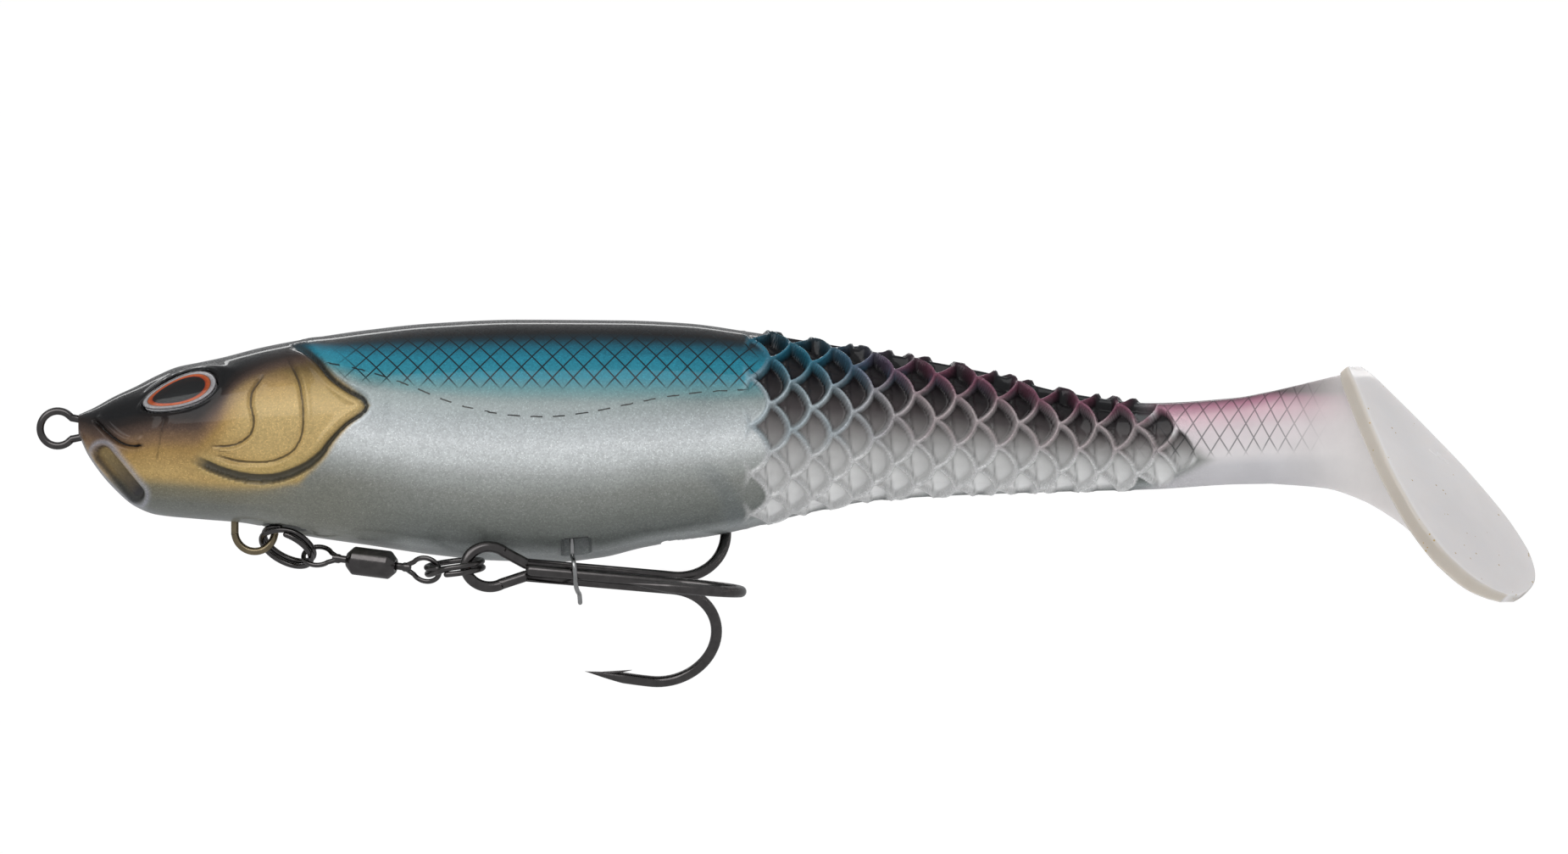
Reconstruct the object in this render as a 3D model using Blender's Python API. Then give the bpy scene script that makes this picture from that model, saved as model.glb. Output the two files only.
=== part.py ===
"""Paddle-tail soft swimbait with a through-wire harness, a rolling-swivel chain and a treble hook.

Row frame: origin at the centre of the line-tie loop on the nose, +X from nose to tail, +Z up, the
left flank facing -Y.  Sizes are written in millimetres and turned into metres on the way out.
The body is one moulding on the real bait; it is cut here at the four places where its tail flexes.
"""

import math

import bmesh
import bpy
from mathutils import Matrix, Vector

MM = 0.001

# --- driving dimensions, in millimetres -------------------------------------------------------
NOSE_X = 2.9
TAIL_ROOT_S = 182.0          # where the tail stem has run into the paddle, measured unbent
BACK_LINE = ((2.9, 1.3), (4.9, 2.8), (7.8, 4.4), (13.6, 7.2), (16.5, 8.4), (22.4, 9.7), (31.2, 11.8),
             (42.8, 13.7), (55.0, 14.7), (69.1, 15.1), (86.7, 14.6), (98.4, 13.0), (115.9, 10.2),
             (127.6, 8.0), (139.3, 5.0), (151.0, 3.5), (162.7, 4.2), (171.0, 5.9), (182.0, 8.4))
BELLY_LINE = ((2.9, -1.2), (4.4, -4.0), (7.8, -8.3), (10.7, -10.9), (14.0, -12.1), (22.4, -12.9),
              (34.1, -14.9), (51.6, -17.4), (60.0, -18.2), (69.0, -18.4), (75.0, -17.8), (80.8, -16.4),
              (92.5, -14.4), (104.2, -11.5), (115.9, -9.8), (133.5, -8.9), (151.0, -8.5), (162.7, -7.8),
              (171.0, -7.8), (182.0, -11.0))
HALF_WIDTH = ((2.9, 1.4), (5.0, 3.6), (9.0, 6.0), (14.0, 8.2), (22.0, 10.4), (34.0, 11.9), (55.0, 12.6),
              (75.0, 12.0), (95.0, 9.9), (115.0, 7.4), (135.0, 5.2), (150.0, 3.9), (165.0, 2.9), (182.0, 1.9))
UPPER_FULLNESS = 2.15        # superellipse exponents of the two halves of a cross section
LOWER_FULLNESS = 1.95
FACETS_ROUND = 32
PADDLE_FACETS = 20
GAP = 0.3                    # running gap between a piece and the solid that holds it

# name, station of the hinge along the unbent body, knuckle radius, how far the tail is turned there at rest
FLEXES = (("honeycomb_front", 106.5, 8.9, 0.0), ("honeycomb_rear", 122.0, 7.0, 0.0),
          ("peduncle", 143.0, 4.8, -13.0), ("paddle_tail", 168.0, 3.1, -19.0))

PADDLE_TOP = (180.4, 8.0)    # ends of the paddle's centre line in the unbent body, as (s, z)
PADDLE_END = (206.2, -23.3)
PADDLE_THICK = 2.4
WEB_HALF_THICK = 0.95
# share of the paddle's length from the top, half width there
PADDLE_SHAPE = ((0.0, 2.0), (0.1, 4.2), (0.3, 8.0), (0.5, 11.2), (0.7, 12.7), (0.85, 11.6), (0.95, 7.8),
                (1.0, 3.0))
PADDLE_SQUARENESS = 0.4      # power that squares off the plate's rim; 1 would make it a plain ellipse

HARNESS_WIRE = 0.52          # wire radii
LINE_TIE_RADIUS = 2.4
HANGER_CENTRE = (27.2, 0.0, -14.2)
HANGER_RADIUS = 2.75
RING_WIRE, RING_RADIUS = 0.40, 3.75
REAR_RING_WIRE, REAR_RING_RADIUS = 0.40, 3.85
EYE_WIRE, STEM_RADIUS = 0.34, 0.50
EYE_HALF_LONG, EYE_HALF_WIDE, EYE_REACH = 2.0, 1.75, 4.3
KEEPER_WIRE = 0.32
BARREL_RADIUS, BARREL_LENGTH = 1.95, 7.0
HOOK_WIRE, HOOK_EYE_HALF_LONG, HOOK_EYE_HALF_TALL = 0.80, 3.3, 2.75
HOOK_LENGTH = 25.9           # from the middle of the treble's eye to the start of its bends
HOOK_BEND = 7.7
HOOK_POINT = 9.6
HOOK_ROLLS = {"lower": 33.0, "upper": 153.0, "near": -87.0}

FRONT_RING_AT, FRONT_RING_ALONG, FRONT_RING_ROLL = (31.75, -0.48, -16.28), (6.6, -1.65, -2.35), 55.0
BARREL_AT = (43.4, -3.45, -18.5)
SWIVEL_DIRECTION = (14.5, -3.9, -1.8)
SWIVEL_ROLLS = {-1: 45.0, 1: 22.0}
REAR_RING_AT, REAR_RING_ALONG, REAR_RING_ROLL = (54.9, -6.75, -19.1), (7.6, -2.6, 0.6), 98.0
TREBLE_AT = (59.65, -8.0, -19.0)
TREBLE_YAW, TREBLE_PITCH = 12.0, -5.0
# the keeper pin, as steps from the middle of the double shank it clips round
KEEPER_ROUTE = ((-0.6, 0.1, 9.0), (-0.4, 0.1, 3.1), (-0.35, -0.6, 2.5), (-0.2, -2.3, 1.9), (-0.1, -3.0, 1.2),
                (0.1, -3.05, -0.9), (0.2, -2.6, -1.8), (0.4, -1.4, -2.4), (0.6, -0.5, -2.8), (0.7, -0.3, -3.9))
KEEPER_STATION = 12.1        # how far down the shank it grips
KEEPER_ROOM = (3.4, 2.8, 8.2)
# belly slot: from the start of the bends, lengths along the shank; heights and reaches across it
SLOT_FRONT, SLOT_REAR, SLOT_ROOF = -10.8, 10.8, 15.9
SLOT_FLOOR, SLOT_FAR_WALL = -6.0, 10.0

EYE_S, EYE_HEIGHT, EYE_TILT = 17.0, 5.0, 13.0
EYE_LONG, EYE_TALL, EYE_EGG = 5.3, 2.45, 0.16      # half axes, and how much fuller the rear half is
# each layer of an eye as (distance out from the flank, share of full size)
EYE_SOCKET = ((-1.9, 1.0), (3.0, 1.0))
EYE_FOIL = ((-1.75, 0.955), (-1.45, 0.955))
EYE_LENS = ((-1.3, 0.955), (-0.1, 0.955), (0.35, 0.86), (0.65, 0.62), (0.8, 0.3))
EYE_SIDES = (("left", 1), ("right", -1))

MOUTH_AT, MOUTH_LEAN = (7.0, 0.0, -6.5), 50.0
MOUTH_HALF_AXES = (4.9, 2.9, 2.1)

WEIGHT_FRONT, WEIGHT_LENGTH = 20.0, 22.0
WEIGHT_HEIGHT, WEIGHT_FALL = -6.2, -2.4            # its middle at the front, and how far that drops to the rear
WEIGHT_HALF_WIDTH = (2.0, 2.6)                     # at its ends, and what its middle adds
WEIGHT_HALF_HEIGHT = (1.7, 1.7)


# --- small helpers -----------------------------------------------------------------------------
def clear_scene():
    for obj in list(bpy.data.objects):
        bpy.data.objects.remove(obj, do_unlink=True)


def collection(name, hidden=False):
    made = bpy.data.collections.new(name)
    bpy.context.scene.collection.children.link(made)
    made.hide_render = hidden
    return made


def material(name, colour, roughness, metallic=0.0, alpha=1.0):
    made = bpy.data.materials.new(name)
    made.use_nodes = True
    shader = made.node_tree.nodes["Principled BSDF"]
    shader.inputs["Base Color"].default_value = (*colour, 1.0)
    shader.inputs["Roughness"].default_value = roughness
    shader.inputs["Metallic"].default_value = metallic
    shader.inputs["Alpha"].default_value = alpha
    return made


def through(points):
    """A smooth curve value(x) through points sorted by x: cubic pieces with averaged slopes."""
    xs = [p[0] for p in points]
    ys = [p[1] for p in points]
    chords = [(ys[i + 1] - ys[i]) / (xs[i + 1] - xs[i]) for i in range(len(xs) - 1)]
    slopes = [chords[0]]
    for left, right in zip(chords, chords[1:]):
        slopes.append(0.0 if left * right <= 0 else 2 * left * right / (left + right))
    slopes.append(chords[-1])

    def value(x):
        i = max(0, min(len(xs) - 2, next((k for k in range(len(xs) - 1) if x <= xs[k + 1]), len(xs) - 2)))
        width = xs[i + 1] - xs[i]
        t = min(1.0, max(0.0, (x - xs[i]) / width))
        return ((1 + 2 * t) * (1 - t) ** 2 * ys[i] + t * (1 - t) ** 2 * width * slopes[i]
                + t * t * (3 - 2 * t) * ys[i + 1] + t * t * (t - 1) * width * slopes[i + 1])

    return value


back = through(BACK_LINE)
belly = through(BELLY_LINE)
half_width = through(HALF_WIDTH)


def section_point(s, angle):
    """A point of the unbent body: s along it, angle round it from the left flank over the back."""
    top, bottom, wide = back(s), belly(s), half_width(s)
    middle = 0.5 * (top + bottom)
    across, up = math.cos(angle), math.sin(angle)
    fullness = UPPER_FULLNESS if up > 0 else LOWER_FULLNESS
    y = -wide * math.copysign(abs(across) ** (2 / fullness), across)
    z = middle + (top - middle) * math.copysign(abs(up) ** (2 / fullness), up)
    return Vector((s, y, z))


def mesh_object(name, mesh, into, look=None):
    obj = bpy.data.objects.new(name, mesh)
    into.objects.link(obj)
    if look:
        mesh.materials.append(look)
    mesh.shade_smooth()
    mesh.set_sharp_from_angle(angle=math.radians(35))
    return obj


def finish_bmesh(bm, name):
    bmesh.ops.recalc_face_normals(bm, faces=bm.faces)
    mesh = bpy.data.meshes.new(name)
    bm.to_mesh(mesh)
    bm.free()
    return mesh


def loft(name, rings, into, look=None):
    """A closed solid through rings of points given in millimetres, capped at both ends."""
    bm = bmesh.new()
    rows = [[bm.verts.new(Vector(p) * MM) for p in ring] for ring in rings]
    count = len(rows[0])
    for one, two in zip(rows, rows[1:]):
        for i in range(count):
            bm.faces.new((one[i], one[(i + 1) % count], two[(i + 1) % count], two[i]))
    bm.faces.new(rows[0][::-1])
    bm.faces.new(rows[-1])
    return mesh_object(name, finish_bmesh(bm, name), into, look)


def spaced(start, end, count):
    return [start + (end - start) * i / (count - 1) for i in range(count)]


def wire_mesh(name, points, radius, sides=8, radii=None):
    """A wire as a closed mesh: a POLY curve with a round bevel and welded caps."""
    curve = bpy.data.curves.new(name, "CURVE")
    curve.dimensions = "3D"
    curve.bevel_depth = radius * MM
    curve.bevel_resolution = sides // 2 - 2
    curve.use_fill_caps = True
    spline = curve.splines.new("POLY")
    spline.points.add(len(points) - 1)
    for i, point in enumerate(points):
        spline.points[i].co = (*(Vector(point) * MM), 1.0)
        spline.points[i].radius = radii[i] if radii else 1.0
    holder = bpy.data.objects.new(name + "_curve", curve)
    bpy.context.scene.collection.objects.link(holder)
    graph = bpy.context.evaluated_depsgraph_get()
    mesh = bpy.data.meshes.new_from_object(holder.evaluated_get(graph))
    bpy.data.objects.remove(holder, do_unlink=True)
    bm = bmesh.new()
    bm.from_mesh(mesh)
    bmesh.ops.remove_doubles(bm, verts=bm.verts, dist=1e-6)
    return finish_bmesh(bm, name)


def wire(name, points, radius, into, look=None, sides=8, radii=None):
    return mesh_object(name, wire_mesh(name, points, radius, sides, radii), into, look)


def boolean(obj, operation, cutter):
    step = obj.modifiers.new(operation.lower(), "BOOLEAN")
    step.operation = operation
    step.solver = "EXACT"
    step.object = cutter


def apply_modifiers(obj):
    graph = bpy.context.evaluated_depsgraph_get()
    mesh = bpy.data.meshes.new_from_object(obj.evaluated_get(graph))
    obj.modifiers.clear()
    obj.data = mesh
    mesh.shade_smooth()
    mesh.set_sharp_from_angle(angle=math.radians(35))


def as_cutter(obj):
    obj.hide_render = True
    obj.display_type = "WIRE"
    return obj


def turned(name, profile, origin, along, steps=24):
    """A solid of revolution: profile is a closed loop of (distance along, radius), radius above zero."""
    bm = bmesh.new()
    side, other = frame_across(along)
    rows = []
    for k in range(steps):
        turn = 2 * math.pi * k / steps
        out = side * math.cos(turn) + other * math.sin(turn)
        rows.append([bm.verts.new((Vector(origin) + along * d + out * r) * MM) for d, r in profile])
    count = len(profile)
    for k in range(steps):
        one, two = rows[k], rows[(k + 1) % steps]
        for i in range(count):
            bm.faces.new((one[i], one[(i + 1) % count], two[(i + 1) % count], two[i]))
    return finish_bmesh(bm, name)


def frame_across(along):
    """Two unit vectors square to a direction: the first as near to up as it can be."""
    up = Vector((0, 0, 1))
    side = (up - along * up.dot(along)).normalized()
    return side, along.cross(side)


# --- the moulded body --------------------------------------------------------------------------
def body_solid(name, start, end, count, into, look=None):
    turns = [2 * math.pi * k / FACETS_ROUND for k in range(FACETS_ROUND)]
    return loft(name, [[section_point(s, a) for a in turns] for s in spaced(start, end, count)], into, look)


def knuckle(station, radius, steps=20):
    """The plan-view arc, bulging towards the nose, round a hinge: from the left to the right."""
    return [(station - radius * math.sin(math.pi * k / steps), -radius * math.cos(math.pi * k / steps))
            for k in range(steps + 1)]


def segment_region(name, front, rear, into):
    """A tall prism that keeps one segment: front and rear are (station, radius), or a plain station."""
    reach, low, high = 25.0, -40.0, 30.0
    if isinstance(front, tuple):
        outline = [(front[0], -reach)] + knuckle(*front) + [(front[0], reach)]
    else:
        outline = [(front, -reach), (front, reach)]
    if isinstance(rear, tuple):
        rear_arc = knuckle(rear[0] - GAP, rear[1] + GAP)
        outline += [(rear[0] - GAP, reach)] + rear_arc[::-1] + [(rear[0] - GAP, -reach)]
    else:
        outline += [(rear, reach), (rear, -reach)]
    bm = bmesh.new()
    floor = bm.faces.new([bm.verts.new((x * MM, y * MM, low * MM)) for x, y in outline])
    grown = bmesh.ops.extrude_face_region(bm, geom=[floor])
    top = [v for v in grown["geom"] if isinstance(v, bmesh.types.BMVert)]
    bmesh.ops.translate(bm, vec=(0, 0, (high - low) * MM), verts=top)
    return as_cutter(mesh_object(name, finish_bmesh(bm, name), into))


def tail_pose(count):
    """The rigid move that carries unbent tail segment number count into its resting place."""
    move = Matrix.Identity(4)
    for _, station, _, turn in FLEXES[:count]:
        pivot = Matrix.Translation(Vector((station, 0, 0)) * MM)
        move = move @ pivot @ Matrix.Rotation(math.radians(turn), 4, "Z") @ pivot.inverted()
    return move


def paddle_plate(name, into, look=None):
    """The paddle: a teardrop plate square to the stem's middle plane, with a softened square rim."""
    top = Vector((PADDLE_TOP[0], 0, PADDLE_TOP[1]))
    end = Vector((PADDLE_END[0], 0, PADDLE_END[1]))
    along = (end - top).normalized()
    length = (end - top).length
    forward = Vector((along.z, 0, -along.x))
    wide = through(PADDLE_SHAPE)
    rings = []
    for share in [0.0, 0.04] + [0.1 * k for k in range(1, 10)] + [0.95, 0.985, 1.0]:
        across = wide(share)
        middle = top + along * (length * share)
        ring = []
        for k in range(PADDLE_FACETS):
            turn = 2 * math.pi * k / PADDLE_FACETS
            y, lift = (math.copysign(abs(v) ** PADDLE_SQUARENESS, v) for v in (math.cos(turn), math.sin(turn)))
            ring.append(middle + Vector((0, across * y, 0)) + forward * (0.5 * PADDLE_THICK * lift))
        rings.append(ring)
    return loft(name, rings, into, look)


def build_tail(parts, cutters, look):
    """Four tail segments cut from the body, each turned rigidly to its resting place."""
    for i, (name, station, radius, _) in enumerate(FLEXES):
        last = i + 1 == len(FLEXES)
        rear = TAIL_ROOT_S + 10.0 if last else (FLEXES[i + 1][1], FLEXES[i + 1][2])
        end = TAIL_ROOT_S if last else rear[0] + 1.0
        segment = body_solid(name, station - radius - 1.0, end, 14, parts, look)
        boolean(segment, "INTERSECT", segment_region(name + "_region", (station, radius), rear, cutters))
        if last:
            boolean(segment, "UNION", as_cutter(web_plate("paddle_web", cutters)))
            boolean(segment, "UNION", as_cutter(paddle_plate("paddle_disc", cutters)))
        apply_modifiers(segment)
        segment.data.transform(tail_pose(i + 1))


def web_plate(name, into):
    """The upright web that carries the stem's lower edge down the front of the paddle."""
    outline = ((172.0, 3.0), (180.8, 6.0), (190.5, -5.0), (197.0, -13.5), (196.0, -15.0), (188.5, -12.6),
               (181.5, -9.6), (176.0, -7.9), (172.0, -7.0))
    return loft(name, [[(s, y, z) for s, z in outline] for y in (-WEB_HALF_THICK, WEB_HALF_THICK)], into)


# --- what the front moulding holds -------------------------------------------------------------
def harness_path():
    """The nose wire: one leg out of the keel weight, round the line tie and back into the weight."""
    loop = []
    for k in range(21):
        turn = math.radians(38 + 284 * k / 20)
        loop.append((LINE_TIE_RADIUS * math.cos(turn), 0.0, LINE_TIE_RADIUS * math.sin(turn)))
    upper = [(21.5, 0, -4.6), (17.0, 0, -3.4), (11.0, 0, -0.6), (6.0, 0, 1.0), (3.6, 0, 1.15)]
    lower = [(3.6, 0, -1.15), (6.0, 0, -1.3), (11.0, 0, -3.2), (17.0, 0, -5.8), (21.5, 0, -6.9)]
    return upper + loop + lower


def hanger_path():
    """The belly hanger: a U whose two legs run up into the keel weight."""
    cx, _, cz = HANGER_CENTRE
    loop = []
    for k in range(17):
        turn = math.radians(180 + 180 * k / 16)
        loop.append((cx + HANGER_RADIUS * math.cos(turn), 0.0, cz + HANGER_RADIUS * math.sin(turn)))
    return [(cx - HANGER_RADIUS, 0, -8.2)] + loop + [(cx + HANGER_RADIUS, 0, -8.2)]


def run_on(points, extra):
    """The same path, run on straight past both ends."""
    path = [Vector(p) for p in points]
    start = path[0] + (path[0] - path[1]).normalized() * extra
    end = path[-1] + (path[-1] - path[-2]).normalized() * extra
    return [start] + path + [end]


def keel_weight_rings(grow=0.0):
    """A boat-shaped cast weight low in the chest; grow makes the pocket that holds it."""
    rings = []
    for share in (0.0, 0.12, 0.3, 0.5, 0.7, 0.88, 1.0):
        s = WEIGHT_FRONT - grow + share * (WEIGHT_LENGTH + 2 * grow)
        swell = math.sin(math.pi * (0.1 + 0.8 * share))
        wide = WEIGHT_HALF_WIDTH[0] + WEIGHT_HALF_WIDTH[1] * swell + grow
        tall = WEIGHT_HALF_HEIGHT[0] + WEIGHT_HALF_HEIGHT[1] * swell + grow
        middle = WEIGHT_HEIGHT + WEIGHT_FALL * share
        rings.append([(s, wide * math.cos(math.pi * k / 8), middle + tall * math.sin(math.pi * k / 8))
                      for k in range(16)])
    return rings


def eye_frame(side):
    """Where an eye sits: its centre on the flank, the outward normal and the long and short axes."""
    top, bottom = back(EYE_S), belly(EYE_S)
    middle = 0.5 * (top + bottom)
    angle = math.asin(((EYE_HEIGHT - middle) / (top - middle)) ** (UPPER_FULLNESS / 2))
    here = section_point(EYE_S, angle)
    ahead, above = section_point(EYE_S + 0.5, angle), section_point(EYE_S, angle + 0.05)
    normal = (ahead - here).cross(above - here).normalized()
    tilt = math.radians(EYE_TILT)
    long_axis = Vector((math.cos(tilt), 0, math.sin(tilt)))
    long_axis = (long_axis - normal * long_axis.dot(normal)).normalized()
    short_axis = normal.cross(long_axis)
    return [Vector((v.x, side * v.y, v.z)) for v in (here, normal, long_axis, short_axis)]


def eye_solid(name, side, heights, into, look=None, steps=28):
    """A stack of egg-shaped rings over the eye's frame: heights are (distance out, share of full size)."""
    here, normal, long_axis, short_axis = eye_frame(side)
    rings = []
    for out, share in heights:
        ring = []
        for k in range(steps):
            turn = 2 * math.pi * k / steps
            egg = 1.0 + EYE_EGG * math.cos(turn)
            ring.append(here + normal * out + long_axis * (EYE_LONG * share * math.cos(turn))
                        + short_axis * (EYE_TALL * share * egg * math.sin(turn)))
        rings.append(ring)
    return loft(name, rings, into, look)


def mouth_cutter(into):
    """The open mouth: a shallow oval scooped out of the sloping front of the head."""
    bm = bmesh.new()
    bmesh.ops.create_uvsphere(bm, u_segments=20, v_segments=12, radius=1.0)
    size = Matrix.Diagonal((*(Vector(MOUTH_HALF_AXES) * MM), 1.0))
    lean = Matrix.Rotation(math.radians(MOUTH_LEAN), 4, "Y")
    place = Matrix.Translation(Vector(MOUTH_AT) * MM)
    bmesh.ops.transform(bm, matrix=place @ lean @ size, verts=bm.verts)
    return as_cutter(mesh_object("mouth_scoop", finish_bmesh(bm, "mouth_scoop"), into))


# --- the hook chain ----------------------------------------------------------------------------
def chain_axes(along, roll):
    """Unit vectors along a link and across it, the cross one turned about it from straight up."""
    along = Vector(along).normalized()
    up, side = frame_across(along)
    turn = math.radians(roll)
    return along, up * math.cos(turn) + side * math.sin(turn)


def split_ring_path(centre, along, roll, radius, wire_radius, steps=22):
    """Two close turns of wire lying side by side, with a short ramp where one passes to the other."""
    along, up = chain_axes(along, roll)
    normal = along.cross(up)
    pitch = 2 * wire_radius + 0.08
    points = []
    for k in range(2 * steps - 1):
        turn = 2 * math.pi * k / steps
        ramp = min(1.0, max(0.0, (turn - 5.6) / 1.35))
        lift = pitch * (ramp * ramp * (3 - 2 * ramp) - 0.5)
        points.append(Vector(centre) + (along * math.cos(turn + 1.9) + up * math.sin(turn + 1.9)) * radius
                      + normal * lift)
    return points


def swivel_along():
    return Vector(SWIVEL_DIRECTION).normalized()


def front_ring_path():
    return split_ring_path(FRONT_RING_AT, FRONT_RING_ALONG, FRONT_RING_ROLL, RING_RADIUS, RING_WIRE)


def rear_ring_path():
    return split_ring_path(REAR_RING_AT, REAR_RING_ALONG, REAR_RING_ROLL, REAR_RING_RADIUS, REAR_RING_WIRE)


def swivel_eye_path(sign):
    """The wire loop of one swivel eye with its two short legs; sign is -1 for the front one."""
    along, up = chain_axes(swivel_along() * sign, SWIVEL_ROLLS[sign])
    middle = Vector(BARREL_AT) + along * (0.5 * BARREL_LENGTH + EYE_REACH)
    loop = []
    for k in range(19):
        turn = math.radians(-148 + 296 * k / 18)
        loop.append(middle + along * (EYE_HALF_LONG * math.cos(turn)) + up * (EYE_HALF_WIDE * math.sin(turn)))
    neck = middle - along * (EYE_HALF_LONG + 0.4)
    apart = EYE_WIRE + 0.02
    return [neck - up * apart - along * 0.25] + loop + [neck + up * apart - along * 0.25]


def swivel_eye(name, sign, into, look):
    """A wire eye on a stem whose head turns inside the barrel."""
    along = swivel_along() * sign
    eye = wire(name, swivel_eye_path(sign), EYE_WIRE, into, look)
    inner = 0.5 * BARREL_LENGTH
    tip = inner + EYE_REACH - EYE_HALF_LONG - 0.1
    stem = ((inner - 2.1, 0.05), (inner - 2.1, 0.95), (inner - 1.35, 0.95), (inner - 1.35, STEM_RADIUS),
            (tip - 0.2, STEM_RADIUS), (tip, 0.05))
    tool = mesh_object(name + "_stem", turned(name + "_stem", stem, BARREL_AT, along, 16), into)
    return eye, tool


def barrel_mesh(name):
    half = 0.5 * BARREL_LENGTH
    hole, room = STEM_RADIUS + 0.12, 1.25
    profile = ((-half, hole), (-half, 1.15), (-half + 0.75, BARREL_RADIUS), (half - 0.75, BARREL_RADIUS),
               (half, 1.15), (half, hole), (half - 1.0, hole), (half - 1.0, room), (-half + 1.0, room),
               (-half + 1.0, hole))
    return turned(name, profile, BARREL_AT, swivel_along(), 24)


def treble_axes():
    """The shank's direction, and the two directions across it that roll angles count from."""
    yaw, pitch = math.radians(TREBLE_YAW), math.radians(TREBLE_PITCH)
    along = Vector((math.cos(pitch) * math.cos(yaw), math.cos(pitch) * math.sin(yaw), math.sin(pitch)))
    up, _ = frame_across(along)
    down = -up
    return along, down, along.cross(down)


def treble_station(distance):
    return Vector(TREBLE_AT) + treble_axes()[0] * distance


def radial(roll):
    _, down, far = treble_axes()
    turn = math.radians(roll)
    return down * math.cos(turn) + far * math.sin(turn)


def hook_points(start, roll):
    """One hook from the start of its shank round the bend to the point, and its taper."""
    along, _, _ = treble_axes()
    out = radial(roll)
    points, taper = [], []
    for k in range(17):
        turn = math.pi * k / 16
        points.append(start + along * (HOOK_BEND * 0.98 * math.sin(turn)) + out * (HOOK_BEND * (1 - math.cos(turn))))
        taper.append(1.0)
    for share, width in ((0.2, 1.0), (0.4, 1.0), (0.6, 0.8), (0.8, 0.5), (1.0, 0.06)):
        points.append(start - along * (HOOK_POINT * share) + out * (2 * HOOK_BEND - 0.7 * share ** 1.5))
        taper.append(width)
    return points, taper


def treble_double_path():
    """Point, bend, leg, eye, leg, bend, point: two hooks bent from a single wire."""
    along, down, _ = treble_axes()
    eye = Vector(TREBLE_AT)
    leg = HOOK_WIRE + 0.06
    bend_start = eye + along * HOOK_LENGTH
    lower, lower_taper = hook_points(bend_start + down * leg, HOOK_ROLLS["lower"])
    upper, upper_taper = hook_points(bend_start - down * leg, HOOK_ROLLS["upper"])
    loop = []
    for k in range(17):
        turn = math.radians(52 + 256 * k / 16)
        loop.append(eye + along * (HOOK_EYE_HALF_LONG * math.cos(turn))
                    + down * (HOOK_EYE_HALF_TALL * math.sin(turn)))
    neck = eye + along * 5.2
    joint = [neck + down * leg] + loop + [neck - down * leg]
    points = lower[::-1] + joint + upper
    return points, lower_taper[::-1] + [1.0] * len(joint) + upper_taper


def treble_single_path():
    along, _, _ = treble_axes()
    beside = radial(-90.0) * (1.74 * HOOK_WIRE + 0.22)
    eye = Vector(TREBLE_AT)
    points, taper = hook_points(eye + along * HOOK_LENGTH + beside, HOOK_ROLLS["near"])
    return [eye + along * 5.6 + beside] + points, [1.0] + taper


def keeper_path():
    """The keeper: a spike up into the belly, one bend round the near side of the shank and a tail below."""
    return [treble_station(KEEPER_STATION) + Vector(step) for step in KEEPER_ROUTE]


def slot_prism(name, start, end, outline, into):
    """A prism along the shank's direction: outline holds (reach to the far side, height) across it."""
    along, down, far = treble_axes()
    origin = Vector(TREBLE_AT) + along * HOOK_LENGTH
    rings = [[origin + along * t + far * f - down * h for f, h in outline] for t in (start, end)]
    return as_cutter(loft(name, rings, into))


def belly_slot(into):
    """The pocket that hides the upper hook: a leaning near wall round its bend, an upright one by its point."""
    lean = math.tan(math.radians(180.0 - HOOK_ROLLS["upper"]))
    far_side = ((SLOT_FAR_WALL, SLOT_ROOF), (SLOT_FAR_WALL, SLOT_FLOOR))
    bend = ((-0.6, SLOT_FLOOR), (-0.6, 2.6), (SLOT_ROOF * lean - 2.1, SLOT_ROOF)) + far_side
    point = ((4.8, SLOT_FLOOR), (4.8, SLOT_ROOF)) + far_side
    return [slot_prism("slot_bend", -1.6, SLOT_REAR, bend, into),
            slot_prism("slot_point", SLOT_FRONT, -1.0, point, into)]


def keeper_channel(into):
    """Room for the keeper's spike to rise out of the belly as the treble drops away."""
    bm = bmesh.new()
    bmesh.ops.create_cube(bm, size=MM)
    top = treble_station(KEEPER_STATION) + Vector(KEEPER_ROUTE[0])
    place = Matrix.Translation((top + Vector((0.9, 0.0, -3.4))) * MM)
    bmesh.ops.transform(bm, matrix=place @ Matrix.Diagonal((*KEEPER_ROOM, 1.0)), verts=bm.verts)
    return as_cutter(mesh_object("keeper_channel", finish_bmesh(bm, "keeper_channel"), into))


def ring_recess(into):
    """A shallow dish in the belly that the front split ring lies in."""
    along, up = chain_axes(FRONT_RING_ALONG, FRONT_RING_ROLL)
    normal = along.cross(up)
    dish = RING_RADIUS + RING_WIRE + 0.7
    profile = ((-1.5, 0.1), (-1.5, dish), (1.5, dish), (1.5, 0.1))
    return as_cutter(mesh_object("ring_recess", turned("ring_recess", profile, FRONT_RING_AT, normal, 24), into))


def build_forebody(parts, cutters, look):
    name, station, radius, _ = FLEXES[0]
    body = body_solid("forebody", NOSE_X, station + 1.0, 44, parts, look)
    tools = [loft("weight_pocket", keel_weight_rings(GAP), cutters),
             wire("harness_channel", harness_path(), HARNESS_WIRE + GAP, cutters),
             wire("hanger_channel", hanger_path(), HARNESS_WIRE + GAP, cutters)]
    boolean(body, "INTERSECT", segment_region("forebody_region", -5.0, (station, radius), cutters))
    for tool in tools:
        boolean(body, "DIFFERENCE", as_cutter(tool))
    for side_name, side in EYE_SIDES:
        socket = as_cutter(eye_solid("socket_" + side_name, side, EYE_SOCKET, cutters))
        boolean(body, "DIFFERENCE", socket)
    boolean(body, "DIFFERENCE", mouth_cutter(cutters))
    for tool in belly_slot(cutters) + [keeper_channel(cutters), ring_recess(cutters)]:
        boolean(body, "DIFFERENCE", tool)
    apply_modifiers(body)
    return body


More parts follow.
